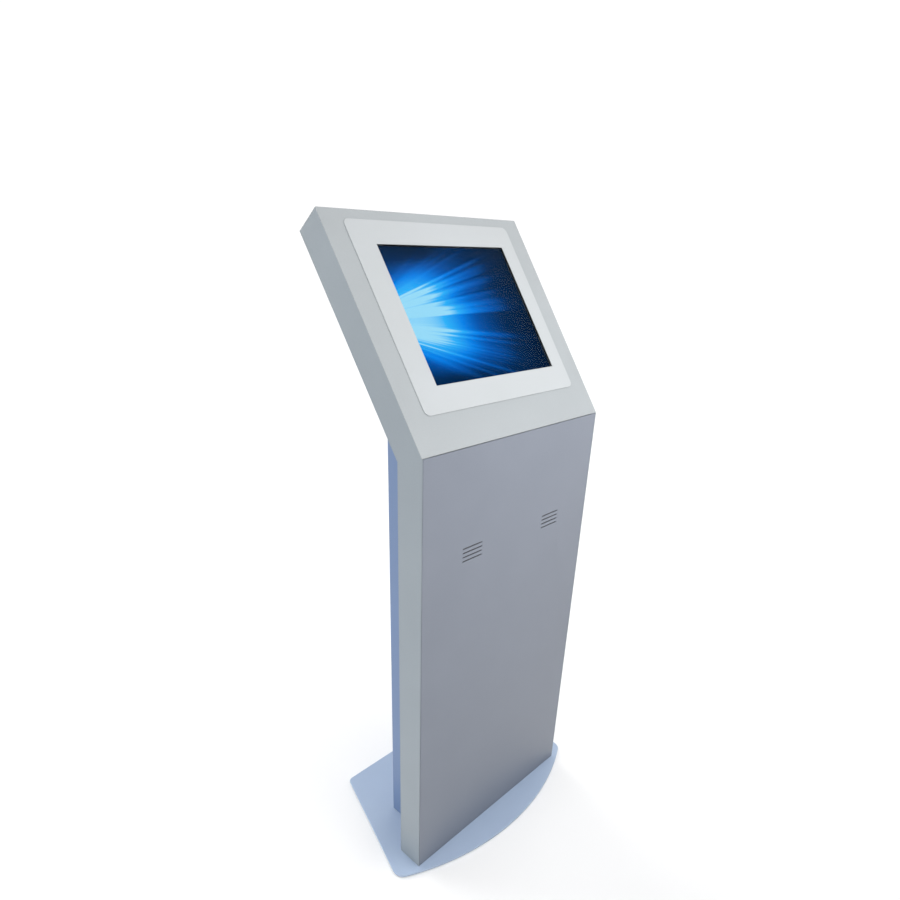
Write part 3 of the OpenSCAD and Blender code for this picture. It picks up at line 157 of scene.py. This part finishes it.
def finish(name, light, dark, patch, grain, relief, rough, stretch=(1, 1, 1), cells=False,
           **sockets):
    """One worked surface.

    light, dark: its two shades; patch: size in mm of the patches where one turns into the other.
    grain: size in mm of the texture; relief: its height in mm.
    rough: lowest and highest roughness.
    stretch: how much the grain is compressed along each axis, as by brushing.
    cells: crystals in place of noise.
    """
    material, tree, shader, where = new_material(name, **sockets)
    spread = noise(tree, where, patch, 3.0)
    run = add(tree, "ShaderNodeMapping", {"Vector": where, "Scale": stretch}).outputs[0]
    if cells:
        fine = add(tree, "ShaderNodeTexVoronoi",
                   {"Vector": run, "Scale": 1 / (grain * MM)}).outputs["Color"]
    else:
        fine = noise(tree, run, grain, 2.0)
    blend = mixed(tree, grain_share, spread, fine)
    colour = add(tree, "ShaderNodeValToRGB", {0: blend})
    for element, place, shade in zip(colour.color_ramp.elements, shade_span, (dark, light)):
        element.position = place
        element.color = linear(shade)
    surface(tree, shader, colour.outputs[0], ranged(tree, blend, gloss_span, rough))
    raised(tree, shader, fine, relief)
    return material


made = {}

# Polyester powder coat, sprayed and baked on folded steel: a satin skin with a faint orange peel,
# about 1.5 mm from crest to crest, drawn at 3 mm so that it still shows at arm's length.
powder = dict(patch=160, grain=3, relief=0.010, rough=(0.36, 0.44), IOR=1.5)
made["grey_paint"] = finish("powder_coat_mid_grey", "#899299", "#848d94", **powder)
# The column's front has the cheeks' grey paint, painted darker here: painted shade for a front that gets less
# light.
made["shaded_grey_paint"] = finish("powder_coat_grey_painted_shade_front", "#7e8490", "#797f8b", **powder)
# The head's face has the same grey paint, painted lighter here: painted light for the light from above on its
# leaning face. Its slot keeps the name pale_grey_paint.
made["pale_grey_paint"] = finish("powder_coat_grey_painted_light_head_face", "#9ea3a6", "#999ea1", **powder)
made["bezel_paint"] = finish("powder_coat_bezel", "#b1b5b8", "#aeb2b4", **powder)
made["blue_paint"] = finish("powder_coat_light_blue", "#a3b4cc", "#9fb0c8", **powder)
# The rear housing, its door and the service panel have the base plate's blue paint, painted darker here: painted
# shade for sides that are out of the light.
made["shaded_blue_paint"] = finish("powder_coat_blue_painted_shade_housing", "#687ea2", "#647a9e", **powder)
made["black_steel"] = finish("powder_coat_black_fine_texture", "#303338", "#26292d",
                             patch=60, grain=0.8, relief=0.06, rough=(0.48, 0.6), IOR=1.5)

# Bright zinc plate with a clear passivation: bluish and yellowish patches on a soft metal shine.
made["zinc_plated_steel"] = finish("zinc_plate_clear_passivated", "#cfd3d6", "#b9b8ae",
                                   patch=9, grain=0.4, relief=0.01, rough=(0.22, 0.38),
                                   Metallic=1.0)
# Hot-dip galvanised sheet: flat crystals, about 9 mm across, each with its own shine.
made["galvanised_steel"] = finish("galvanised_sheet_spangle", "#aab0b5", "#8b9298",
                                  patch=70, grain=9, relief=0.004, rough=(0.32, 0.52),
                                  cells=True, Metallic=1.0)
# Stainless strip brushed along its length: fine upright lines, 0.3 mm apart, that spread the
# highlight sideways.
made["hinge_steel"] = finish("stainless_strip_brushed", "#b7babd", "#9da1a5",
                             patch=30, grain=0.3, relief=0.006, rough=(0.36, 0.48),
                             stretch=(1, 1, 0.03), Metallic=1.0, Anisotropic=0.5)
# Bright chrome plate on a polished zinc casting: nearly a mirror, dulled by handling marks.
made["lock_chrome"] = finish("chrome_plate_polished", "#d9dcde", "#cfd3d6",
                             patch=12, grain=1.2, relief=0.002, rough=(0.06, 0.16),
                             Metallic=1.0)
# Drawn brass, left bare: warm metal with darker tarnish in patches.
made["brass"] = finish("brass_drawn_bare", "#d2b878", "#a98d4e",
                       patch=4, grain=0.3, relief=0.005, rough=(0.22, 0.4),
                       stretch=(1, 0.1, 1), Metallic=1.0)
# Die-cast zinc with a satin nickel flash: slightly grainy and grey.
made["jack_metal"] = finish("die_cast_zinc_satin_nickel", "#9ba0a6", "#83888e",
                            patch=8, grain=0.5, relief=0.02, rough=(0.3, 0.42), Metallic=1.0)
# Natural rubber compound, moulded: dead matt, with a grey bloom in patches.
made["black_rubber"] = finish("rubber_moulded_black", "#2c2e31", "#1c1d1f",
                              patch=14, grain=0.7, relief=0.03, rough=(0.72, 0.9), IOR=1.52)
# ABS moulded in a spark-eroded tool: an even fine texture, 0.6 mm from pit to pit.
made["black_plastic"] = finish("abs_spark_eroded_black", "#2b2d30", "#222427",
                               patch=40, grain=0.6, relief=0.05, rough=(0.46, 0.58), IOR=1.54)
# ABS moulded in a satin tool: smooth, with hardly any texture.
made["pale_plastic"] = finish("abs_satin_pale_grey", "#cfd4d7", "#c6cbcf",
                              patch=50, grain=0.8, relief=0.02, rough=(0.36, 0.46), IOR=1.54)
# Polycarbonate rocker, tinted through: glossy, and lit a little from within.
made["red_plastic"] = finish("polycarbonate_tinted_red", "#c8452f", "#b03522",
                             patch=10, grain=2, relief=0.004, rough=(0.16, 0.26), IOR=1.58,
                             Subsurface_Weight=0.25, Subsurface_Scale=0.003)
# Long-fibre paper, pressed in a mould: fibres and a dry, soft surface.
made["speaker_paper"] = finish("pressed_fibre_paper", "#2a2b2e", "#1a1b1d",
                               patch=5, grain=0.5, relief=0.06, rough=(0.78, 0.92),
                               stretch=(1, 1, 0.35))
# Sintered ferrite: dark grey, gritty, with a dull shine.
made["ferrite"] = finish("sintered_ferrite", "#5e6166", "#46494e",
                         patch=10, grain=0.4, relief=0.05, rough=(0.5, 0.66), IOR=2.3)
# PVC sheath, extruded: smooth along its length, softly glossy, with slow waves from the die.
sheath = dict(patch=25, grain=4, relief=0.03, rough=(0.38, 0.5), IOR=1.53)
made["black_lead"] = finish("pvc_sheath_black", "#25272a", "#1b1d1f", **sheath)
made["blue_lead"] = finish("pvc_sheath_blue", "#436fac", "#38629d", **sheath)
made["red_lead"] = finish("pvc_sheath_red", "#b03f38", "#9c332e", **sheath)
# Floor: a pale matt studio sheet.
made["floor"] = finish("studio_floor_matt", "#f2f2f2", "#f0f0f0",
                       patch=900, grain=5, relief=0.01, rough=(0.8, 0.9), IOR=1.4)


def turned_aluminium():
    """Aluminium turned on a lathe: fine rings round its middle, and a satin shine."""
    ring_pitch = 0.4
    material, tree, shader, where = new_material("aluminium_turned", Metallic=1.0)
    centred = add(tree, "ShaderNodeMapping",
                  {"Vector": where, "Location": -middle("computer_button")}).outputs[0]
    rings = add(tree, "ShaderNodeTexWave",
                {"Vector": centred, "Scale": wave_scale / (ring_pitch * MM), "Distortion": 0.4},
                wave_type="RINGS", rings_direction="Y").outputs["Fac"]
    surface(tree, shader, two_shades(tree, rings, "#c2c5c9", "#d2d5d8"),
            ranged(tree, rings, (0.0, 1.0), (0.24, 0.36)))
    raised(tree, shader, rings, 0.01, strength=0.6)
    return material


def woven_cloth():
    """Acoustic cloth, an open plain weave of black polyester: threads crossing over and under."""
    thread_pitch = 1.2
    material, tree, shader, where = new_material("acoustic_cloth_black", Sheen_Weight=0.3, IOR=1.5)
    threads = [add(tree, "ShaderNodeTexWave",
                   {"Vector": where, "Scale": wave_scale / (thread_pitch * MM)},
                   wave_type="BANDS", bands_direction=direction).outputs["Fac"]
               for direction in ("X", "Z")]
    weave = maths(tree, "MAXIMUM", *threads)
    surface(tree, shader, two_shades(tree, weave, "#0c0d0e", "#2e3033"),
            ranged(tree, weave, (0.0, 1.0), (0.9, 0.7)))
    raised(tree, shader, weave, 0.2)
    return material


def coated_glass():
    """Toughened touch glass, etched against glare and coated: clear, with faint smears of touch.

    The coat takes away nearly all of plain glass's reflection, which the low IOR gives.
    """
    smear_size = 35
    material, tree, shader, where = new_material(
        "toughened_glass_anti_reflective", IOR=1.06, Transmission_Weight=1.0)
    smears = noise(tree, where, smear_size, 4.0, Distortion=1.5)
    surface(tree, shader, two_shades(tree, smears, "#fdfefe", "#f6faf9"),
            ranged(tree, smears, (0.5, 0.8), (0.14, 0.2)))
    return material


# The picture: a soft glow near its left edge, and beams of light thrown to the right from a point
# off that edge. Places and lengths are in mm, from the picture's middle.
glow_centre = (-150.0, 0.0, -8.0)
glow_end = 199.5                # from the glow's centre
beam_source = (-330.0, 0.0, -4.0)
beam_fade = (120.0, 565.5)      # from the source, where the beams begin to fade and where they end
beam_spread = math.radians(34)  # to each side of the middle beam
beam_core = 0.35                # share of the spread with beams at full strength
broad_beams, thin_beams = 7.0, 26.0             # noise scales, by the angle round the source
beam_contrast = (0.16, 0.40)    # of the noise, from a gap to a full beam
glow_weight, haze_weight, beam_weight = 0.50, 0.48, 0.45
picture_ends = ("#01152e", "#9addfb")
picture_shades = ((0.12, "#022a56"), (0.30, "#0459b4"), (0.50, "#0682ea"), (0.80, "#2fb2fb"))


def lit_picture():
    """Liquid-crystal panel showing an abstract blue picture: beams of light from a soft glow."""
    material, tree, shader, where = new_material(
        "lcd_lit_picture", IOR=1.5, Roughness=0.5, Emission_Strength=1.0, Specular_IOR_Level=0.0,
        Base_Color=linear("#020304"))

    def vectors(kind, *values):
        return add(tree, "ShaderNodeVectorMath", dict(enumerate(values)), operation=kind).outputs

    def by_angle(angle, scale):
        return add(tree, "ShaderNodeTexNoise", {"W": angle, "Scale": scale, "Detail": 1.0},
                   noise_dimensions="1D").outputs[0]

    flat = add(tree, "ShaderNodeMapping", {"Vector": where, "Location": middle("touch_glass"),
                                           "Rotation": (-face_tilt, 0, 0), "Scale": (MM, MM, MM)},
               vector_type="TEXTURE").outputs[0]
    glow = ranged(tree, vectors("DISTANCE", flat, glow_centre)["Value"], (0.0, glow_end),
                  (1.0, 0.0), interpolation_type="SMOOTHERSTEP")

    # the beams, by their angle round the source and their length
    ray = vectors("SUBTRACT", flat, beam_source)[0]
    along = add(tree, "ShaderNodeSeparateXYZ", {0: ray}).outputs
    angle = maths(tree, "ARCTAN2", along["Z"], along["X"])
    bands = maths(tree, "MULTIPLY", by_angle(angle, broad_beams), by_angle(angle, thin_beams))
    bands = ranged(tree, bands, beam_contrast, (0.0, 1.0), interpolation_type="SMOOTHSTEP")
    wedge = ranged(tree, maths(tree, "ABSOLUTE", angle), (beam_core * beam_spread, beam_spread),
                   (1.0, 0.0), interpolation_type="SMOOTHSTEP")
    fade = ranged(tree, vectors("LENGTH", ray)["Value"], beam_fade, (1.0, 0.0),
                  interpolation_type="SMOOTHSTEP")
    lit = maths(tree, "MULTIPLY", wedge, fade)
    haze = maths(tree, "MULTIPLY", lit, haze_weight)
    beams = maths(tree, "MULTIPLY_ADD", maths(tree, "MULTIPLY", lit, bands), beam_weight, haze)
    level = maths(tree, "MULTIPLY_ADD", glow, glow_weight, beams)

    colour = add(tree, "ShaderNodeValToRGB", {0: level})
    ramp = colour.color_ramp
    for element, shade in zip(ramp.elements, picture_ends):
        element.color = linear(shade)
    for place, shade in picture_shades:
        ramp.elements.new(place).color = linear(shade)
    tree.links.new(colour.outputs[0], shader.inputs["Emission Color"])
    return material


made["button_metal"] = turned_aluminium()
made["speaker_cloth"] = woven_cloth()
made["touch_glass"] = coated_glass()
made["display"] = lit_picture()

# The column's front and the rear housing, door and service panel take the painted-shade copies of their paints.
finish_of = dict(slot_of, rear_housing="shaded_blue_paint", rear_door="shaded_blue_paint",
                 service_panel="shaded_blue_paint", front_panel="shaded_grey_paint")

# ---------------------------------------------------------------- pieces

flat_angle = math.radians(0.5)  # faces that differ by less than this are one flat face
edge_angle = math.radians(40)   # edges sharper than this are rounded
edge_steps = 2                  # faces across a rounded edge


def dress(piece, *materials):
    piece.data.materials.clear()
    for material in materials:
        piece.data.materials.append(material)


def tilted_frame(place):
    """Head-local axes at a place: X across, Y into the head, Z up its face."""
    return Matrix.Translation(place) @ Matrix.Rotation(-face_tilt, 4, "X")


def joined_shape(node):
    """A CAD node's mesh to edit, with its loose triangles joined at their corners."""
    shape = bmesh.new()
    shape.from_mesh(nodes[node].data)
    bmesh.ops.remove_doubles(shape, verts=shape.verts, dist=weld)
    return shape


def merged_copy(node, halved):
    """A CAD node's mesh with its flat faces whole, or halved again into triangles."""
    shape = joined_shape(node)
    bmesh.ops.dissolve_limit(shape, angle_limit=flat_angle, verts=shape.verts, edges=shape.edges)
    if halved:
        bmesh.ops.triangulate(shape, faces=shape.faces)
    shape.verts.index_update()
    mesh = bpy.data.meshes.new(node)
    mesh.from_pydata([v.co[:] for v in shape.verts], [],
                     [[v.index for v in f.verts] for f in shape.faces])
    shape.free()
    mesh.validate()
    return mesh


def stand_in(name, mesh, node, smooth=30):
    """Puts a finished mesh in the scene, in place of a node and riding on its body.

    smooth: the angle in degrees above which an edge is shaded sharp.
    """
    piece = bpy.data.objects.new(name, mesh)
    scene.collection.objects.link(piece)
    for face in mesh.polygons:
        face.use_smooth = True
    mesh.set_sharp_from_angle(angle=math.radians(smooth))
    dress(piece, made[finish_of[node]])
    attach(piece, body_of[node])
    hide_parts(node)
    return piece


def eased(node, radius):
    """The node's shape with its sharp edges rounded to a radius in mm."""
    piece = stand_in(node + "_eased", merged_copy(node, node in full_of_holes), node)
    rounding = piece.modifiers.new("rounded_edges", "BEVEL")
    rounding.width = radius * MM
    rounding.segments = edge_steps
    rounding.limit_method = "ANGLE"
    rounding.angle_limit = edge_angle
    rounding.use_clamp_overlap = False
    rounding.harden_normals = True


# Radius in mm that each shape's edges have: folded sheet, cut plate, moulding, turned part.
edge_radii = {
    "base_plate": 0.8, "left_cheek": 0.35, "right_cheek": 0.35, "front_panel": 0.3,
    "head_face": 0.35, "column_back": 0.3, "rear_housing": 0.3, "rear_door": 0.3,
    "service_panel": 0.4, "bezel_plate": 0.4, "mains_inlet": 0.4, "network_jack": 0.3,
    "lock_bodies": 0.4, "base_pads": 0.35, "base_grommet": 0.35, "head_grommet": 0.35,
    "column_bolts": 0.3, "hinge_pins": 0.3, "upper_lock_plug": 0.3, "lower_lock_plug": 0.3,
    "upper_lock_cam": 0.2, "lower_lock_cam": 0.2, "inlet_rocker": 0.3, "strip_rocker": 0.3,
    "power_strip": 0.35, "power_plugs": 0.35, "computer_case": 0.35, "computer_button": 0.3,
    "computer_shelf": 0.2, "monitor_cover": 0.3, "monitor_button": 0.3, "left_fan_rotor": 0.2,
    "right_fan_rotor": 0.2, "speaker_magnets": 0.35,
}
# Their widest faces have many holes and only stay whole as triangles.
full_of_holes = ("left_cheek", "right_cheek")
for node, radius in edge_radii.items():
    eased(node, radius)

# Leads keep their course; only their flat sides are shaded round.
for node in ("supply_lead", "equipment_leads", "video_lead", "network_lead", "speaker_leads"):
    stand_in(node + "_sheath", merged_copy(node, True), node, smooth=65)


def panel_behind_glass():
    """The display: a blackened steel frame round the lit picture, just behind the glass."""
    gap = 0.25 * MM             # from the glass to the frame
    border = 7.0 * MM           # width of the frame
    sink = 0.4 * MM             # from the frame's face down to the picture
    bevel = 0.3 * MM            # of the frame's outer edge

    # the panel's own depth and height, from the upright box round the leaning panel
    low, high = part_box("lcd_panel")
    size = high - low
    lean = math.cos(2 * face_tilt)
    deep = (size.y * math.cos(face_tilt) - size.z * math.sin(face_tilt)) / lean
    tall = (size.z * math.cos(face_tilt) - size.y * math.sin(face_tilt)) / lean
    half_w, half_h, half_d = size.x / 2, tall / 2, deep / 2
    front = gap - half_d
    shape = bmesh.new()

    def loop(inset, depth):
        corners = ((-1, -1), (1, -1), (1, 1), (-1, 1))
        return [shape.verts.new((x * (half_w - inset), depth, z * (half_h - inset)))
                for x, z in corners]

    loops = [loop(0, half_d), loop(0, front + bevel), loop(bevel, front), loop(border, front),
             loop(border, front + sink)]
    for outer, inner in zip(loops, loops[1:]):
        for i in range(4):
            j = (i + 1) % 4
            shape.faces.new((outer[i], outer[j], inner[j], inner[i]))
    shape.faces.new(loops[0][::-1])
    shape.faces.new(loops[-1])
    bmesh.ops.recalc_face_normals(shape, faces=shape.faces)
    shape.transform(tilted_frame(middle("lcd_panel")))
    mesh = bpy.data.meshes.new("display")
    shape.to_mesh(mesh)
    shape.free()

    piece = stand_in("display_panel", mesh, "lcd_panel")
    dress(piece, made["black_steel"], made["display"])
    mesh.polygons[len(mesh.polygons) - 1].material_index = 1
    for face in mesh.polygons:
        face.use_smooth = False


panel_behind_glass()

# ---------------------------------------------------------------- what repeats


def new_tree(name, sizes):
    """A geometry tree with one named input for each size, its inputs and its output node."""
    tree = bpy.data.node_groups.new(name, "GeometryNodeTree")
    tree.interface.new_socket("Geometry", in_out="INPUT", socket_type="NodeSocketGeometry")
    kinds = {type(None): "NodeSocketMaterial", int: "NodeSocketInt", float: "NodeSocketFloat"}
    for label, value in sizes.items():
        tree.interface.new_socket(label, in_out="INPUT", socket_type=kinds[type(value)])
    tree.interface.new_socket("Geometry", in_out="OUTPUT", socket_type="NodeSocketGeometry")
    return tree, add(tree, "NodeGroupInput").outputs, add(tree, "NodeGroupOutput")


def instances(tree, points, shape, **how):
    """A shape on each point."""
    return add(tree, "GeometryNodeInstanceOnPoints",
               {"Points": points, "Instance": shape, **how}).outputs[0]


def moved(tree, shape, offset):
    return add(tree, "GeometryNodeTransform",
               {"Geometry": shape, "Translation": offset}).outputs[0]


def together(tree, *shapes):
    join = add(tree, "GeometryNodeJoinGeometry")
    for shape in shapes:
        tree.links.new(shape, join.inputs[0])
    return join.outputs[0]


def finish_tree(tree, given, shape, end):
    """Ends a tree: the shape on each point with its turn, made real, and its material."""
    turn = add(tree, "GeometryNodeInputNamedAttribute", {"Name": "turn"},
               data_type="FLOAT_VECTOR").outputs[0]
    placed = instances(tree, given["Geometry"], shape, Rotation=turn)
    real = add(tree, "GeometryNodeRealizeInstances", {0: placed}).outputs[0]
    dressed = add(tree, "GeometryNodeSetMaterial",
                  {"Geometry": real, "Material": given["Finish"]}).outputs[0]
    tree.links.new(dressed, end.inputs[0])


def grown(name, tree, points, turns, sizes):
    """The mesh that a tree grows from points, each with its turn, for the sizes given."""
    seed_mesh = bpy.data.meshes.new(name)
    seed_mesh.from_pydata(points, [], [])
    turn = seed_mesh.attributes.new("turn", "FLOAT_VECTOR", "POINT")
    for item, value in zip(turn.data, turns):
        item.vector = value
    seed = bpy.data.objects.new(name, seed_mesh)
    scene.collection.objects.link(seed)
    growth = seed.modifiers.new(name, "NODES")
    growth.node_group = tree
    for socket in tree.interface.items_tree:
        if socket.in_out == "INPUT" and socket.name in sizes:
            growth[socket.identifier] = sizes[socket.name]
    depsgraph = bpy.context.evaluated_depsgraph_get()
    mesh = bpy.data.meshes.new_from_object(seed.evaluated_get(depsgraph))
    bpy.data.objects.remove(seed)
    return mesh


def in_metres(sizes, material, **changed):
    """A tree's sizes with its lengths in metres, its counts left alone, and its material."""
    return {key: material if value is None else value * MM if isinstance(value, float) else value
            for key, value in dict(sizes, **changed).items()}


def screw_tree():
    """A button-head screw with a hexagon socket on each point, its shank behind it."""
    head_sides, shank_sides = 24, 16
    rings = 6                   # of the head's top, from its middle to its rim
    floor_rings = 3             # the socket's floor
    wall_ring = 4               # the upper edge of the socket's wall
    draft = 0.05                # how much narrower the floor is than the wall's upper edge
    dome_drop = 0.62            # share of the head's height that the dome loses at the rim
    flat = math.pi / 3          # the angle that one flat of the hexagon takes up
    positive = 2.5 * math.pi    # added to an angle before it is wrapped
    sizes = {"Head radius": 3.8, "Head height": 2.2, "Socket": 1.3, "Socket depth": 1.1,
             "Shank radius": 2.0, "Length": 8.0, "Finish": None}
    tree, given, end = new_tree("button_head_screw", sizes)

    def step(kind, *values):
        return maths(tree, kind, *values)

    def cylinder(sides, segments, radius, depth, fill):
        return add(tree, "GeometryNodeMeshCylinder",
                   {"Vertices": sides, "Side Segments": 1, "Fill Segments": segments,
                    "Radius": radius, "Depth": depth}, fill_type=fill).outputs["Mesh"]

    # each corner of the head's top, by its distance, its ring and its angle
    head = cylinder(head_sides, rings, given["Head radius"], given["Head height"], "TRIANGLE_FAN")
    position = add(tree, "GeometryNodeInputPosition").outputs[0]
    x, y, z = add(tree, "ShaderNodeSeparateXYZ", {0: position}).outputs
    out = step("SQRT", step("ADD", step("MULTIPLY", x, x), step("MULTIPLY", y, y)))
    angle = step("ARCTAN2", y, x)
    part = step("DIVIDE", out, given["Head radius"])
    ring = step("ROUND", step("MULTIPLY", part, float(rings)))

    # its new distance: on the hexagon's wall, on the floor inside it, or as it was
    turned = step("MODULO", step("ADD", angle, positive), flat)
    from_flat = step("SUBTRACT", turned, flat / 2)
    wall = step("DIVIDE", given["Socket"], step("COSINE", from_flat))
    past_floor = step("GREATER_THAN", ring, floor_rings + 0.5)
    narrowed = step("MULTIPLY_ADD", past_floor, draft, 1 - draft)
    share = step("MINIMUM", step("DIVIDE", ring, float(floor_rings)), narrowed)
    inside = step("MULTIPLY", wall, share)
    in_socket = step("LESS_THAN", ring, wall_ring + 0.5)
    radius = mixed(tree, in_socket, out, inside)

    # its new height: a dome, with the floor sunk in it
    half = step("MULTIPLY", given["Head height"], 0.5)
    curve = step("MULTIPLY", step("POWER", part, 3.0), -dome_drop)
    dome = step("MULTIPLY", given["Head height"], curve)
    on_floor = step("LESS_THAN", ring, floor_rings + 0.5)
    sunk = step("MULTIPLY", on_floor, given["Socket depth"])
    height = step("SUBTRACT", step("ADD", half, dome), sunk)
    shaped = vector(tree, step("MULTIPLY", radius, step("COSINE", angle)),
                    step("MULTIPLY", radius, step("SINE", angle)), height)
    head = add(tree, "GeometryNodeSetPosition",
               {"Geometry": head, "Selection": step("GREATER_THAN", z, 0.0),
                "Position": shaped}).outputs[0]
    head = moved(tree, head, vector(tree, z=half))

    shank = cylinder(shank_sides, 1, given["Shank radius"], given["Length"], "NGON")
    shank = moved(tree, shank, vector(tree, z=step("MULTIPLY", given["Length"], -0.5)))
    finish_tree(tree, given, together(tree, shank, head), end)
    return tree, sizes


def guard_tree():
    """A fan guard of round wire on each point: rings on legs, each leg ending in an eye."""
    hoop_sides, wire_sides, eye_sides = 56, 8, 24
    legs = 4
    sizes = {"Rings": 4, "Inner radius": 12.0, "Outer radius": 36.0, "Wire radius": 0.75,
             "Leg": 50.2, "Eye radius": 3.3, "Finish": None}
    tree, given, end = new_tree("wire_fan_guard", sizes)

    def circle(sides, radius):
        return add(tree, "GeometryNodeCurvePrimitiveCircle",
                   {"Resolution": sides, "Radius": radius}).outputs[0]

    def wire(curve):
        return add(tree, "GeometryNodeCurveToMesh",
                   {"Curve": curve, "Profile Curve": profile}).outputs[0]

    def spots(count):
        """Points on top of one another, and the number of each."""
        line = add(tree, "GeometryNodeMeshLine", {"Count": count, "Offset": (0, 0, 0)},
                   mode="OFFSET").outputs[0]
        return line, add(tree, "GeometryNodeInputIndex").outputs[0]

    profile = circle(wire_sides, given["Wire radius"])

    # the rings
    points, number = spots(given["Rings"])
    share = maths(tree, "DIVIDE", number, maths(tree, "SUBTRACT", given["Rings"], 1.0))
    ring_radius = mixed(tree, share, given["Inner radius"], given["Outer radius"])
    hoops = instances(tree, points, circle(hoop_sides, 1.0), Scale=ring_radius)
    hoops = wire(add(tree, "GeometryNodeRealizeInstances", {0: hoops}).outputs[0])

    # one leg with its eye, then all the legs
    leg_end = maths(tree, "SUBTRACT", given["Leg"], given["Eye radius"])
    leg = wire(add(tree, "GeometryNodeCurvePrimitiveLine",
                   {"Start": vector(tree, given["Inner radius"]),
                    "End": vector(tree, leg_end)}).outputs[0])
    eye = circle(eye_sides, given["Eye radius"])
    eye = wire(moved(tree, eye, vector(tree, given["Leg"])))
    points, number = spots(legs)
    corner = maths(tree, "MULTIPLY_ADD", number, 2 * math.pi / legs, math.pi / legs)
    arms = instances(tree, points, together(tree, eye, leg), Rotation=vector(tree, z=corner))
    finish_tree(tree, given, together(tree, arms, hoops), end)
    return tree, sizes


def separate_solids(shape):
    """The corners of each solid in a shape, as sets."""
    left, groups = set(shape.verts), []
    while left:
        group, border = set(), [next(iter(left))]
        while border:
            vert = border.pop()
            if vert not in group:
                group.add(vert)
                border.extend(e.other_vert(vert) for e in vert.link_edges)
        left -= group
        groups.append(group)
    return groups


def screw_places(node):
    """For each screw of a node, whose axis runs to the rear: the middle of its head's face, and
    its turn, found by the axis round which its box is square."""
    square_within = 0.05 * MM
    shape = joined_shape(node)
    found = []
    for group in separate_solids(shape):
        for lean in (0.0, face_tilt):
            upright = Matrix.Rotation(lean, 3, "X")
            local = [upright @ v.co for v in group]
            low = Vector(min(v[i] for v in local) for i in range(3))
            high = Vector(max(v[i] for v in local) for i in range(3))
            if abs((high.x - low.x) - (high.z - low.z)) < square_within:
                face = Vector(((low.x + high.x) / 2, high.y, (low.z + high.z) / 2))
                found.append((upright.inverted() @ face, (-math.pi / 2 - lean, 0, 0)))
                break
    shape.free()
    return sorted(found, key=lambda item: tuple(round(c, 5) for c in item[0]))


screws, screw_sizes = screw_tree()
screw_lengths = {"panel_screws": 8.0, "fan_screws": 18.0, "frame_hinge_screws": 5.0,
                 "door_hinge_screws": 5.0}
for node, length in screw_lengths.items():
    sizes = in_metres(screw_sizes, made[finish_of[node]], Length=length)
    under_head = Vector((0, 0, -sizes["Head height"]))
    points, turns = [], []
    for face, turn in screw_places(node):
        points.append(face + Matrix.Rotation(turn[0], 3, "X") @ under_head)
        turns.append(turn)
    mesh = grown(node, screws, points, turns, sizes)
    stand_in(node + "_button_head", mesh, node, smooth=35)

guards, guard_sizes = guard_tree()
sizes = in_metres(guard_sizes, made[finish_of["fan_guards"]])
between_fans = middle("fan_guards")
points = [between_fans + Vector((middle(rotor).x, 0, 0))
          for rotor in ("left_fan_rotor", "right_fan_rotor")]
turns = [(-math.pi / 2 - face_tilt, 0, 0)] * len(points)
stand_in("fan_guards_wire", grown("fan_guards", guards, points, turns, sizes), "fan_guards",
         smooth=60)

for node, piece in nodes.items():
    if not piece.hide_render:
        dress(piece, made[finish_of[node]])

# ---------------------------------------------------------------- floor, light and camera

floor_half = 14.0
floor_corners = [(x * floor_half, y * floor_half, 0)
                 for x, y in ((-1, -1), (1, -1), (1, 1), (-1, 1))]
floor_mesh = bpy.data.meshes.new("studio_floor")
floor_mesh.from_pydata(floor_corners, [], [(0, 1, 2, 3)])
floor = bpy.data.objects.new("studio_floor", floor_mesh)
scene.collection.objects.link(floor)
dress(floor, made["floor"])

# The surroundings light the part dimly, but are seen as white.
ambient, seen = 0.12, 1.05
studio = bpy.data.worlds.new("studio_white")
studio.use_nodes = True
scene.world = studio
backdrop = studio.node_tree.nodes["Background"]
looked_at = add(studio.node_tree, "ShaderNodeLightPath").outputs["Is Camera Ray"]
strength = ranged(studio.node_tree, looked_at, (0.0, 1.0), (ambient, seen))
studio.node_tree.links.new(strength, backdrop.inputs["Strength"])
backdrop.inputs["Color"].default_value = (1, 1, 1, 1)


def new_light(name, kind, energy, direction):
    """A light that shines in a direction."""
    lamp = bpy.data.lights.new(name, kind)
    lamp.energy = energy
    light = bpy.data.objects.new(name, lamp)
    scene.collection.objects.link(light)
    light.rotation_euler = direction.to_track_quat("-Z", "Y").to_euler()
    return light


# Soft light from far away: where it comes from, how wide its source looks in degrees, and its
# strength.
far_lights = {
    "overhead_light": ((0.1, -0.2, 1.0), 80, 2.0),
    "left_light": ((-1.0, -0.15, 0.35), 60, 1.75),
    "right_light": ((1.0, 0.1, 0.3), 60, 1.15),
    "rear_light": ((-0.1, 1.0, 0.35), 60, 2.2),
}
for name, (source, width, energy) in far_lights.items():
    new_light(name, "SUN", energy, -Vector(source)).data.angle = math.radians(width)

# A soft box close to the head, which lights the top of the column's front more than its foot.
box_place = Vector((0.35, -1.1, 1.65))
box_target = Vector((0.0, 0.0, 1.2))
front_box = new_light("front_box", "AREA", 4.4, box_target - box_place)
front_box.location = box_place
front_box.visible_camera = False
front_box.data.shape = "RECTANGLE"
front_box.data.size, front_box.data.size_y = 1.0, 0.7
front_box.data.spread = math.radians(110)

camera_place = Vector((-1.0516, -0.9537, 1.4603))
camera_aim = Vector((0.63832, 0.63383, -0.43681))
camera_roll = math.radians(1.338)
lens = bpy.data.cameras.new("camera")
lens.sensor_width = 36
lens.lens = 24.973
lens.shift_x = 0.01049
lens.shift_y = 0.11491
lens.clip_start, lens.clip_end = 0.02, 60
camera = bpy.data.objects.new("camera", lens)
scene.collection.objects.link(camera)
camera.location = camera_place
camera.rotation_mode = "QUATERNION"
roll = Matrix.Rotation(camera_roll, 4, "Z").to_quaternion()
camera.rotation_quaternion = camera_aim.to_track_quat("-Z", "Y") @ roll
scene.camera = camera
scene.view_settings.view_transform = "Standard"
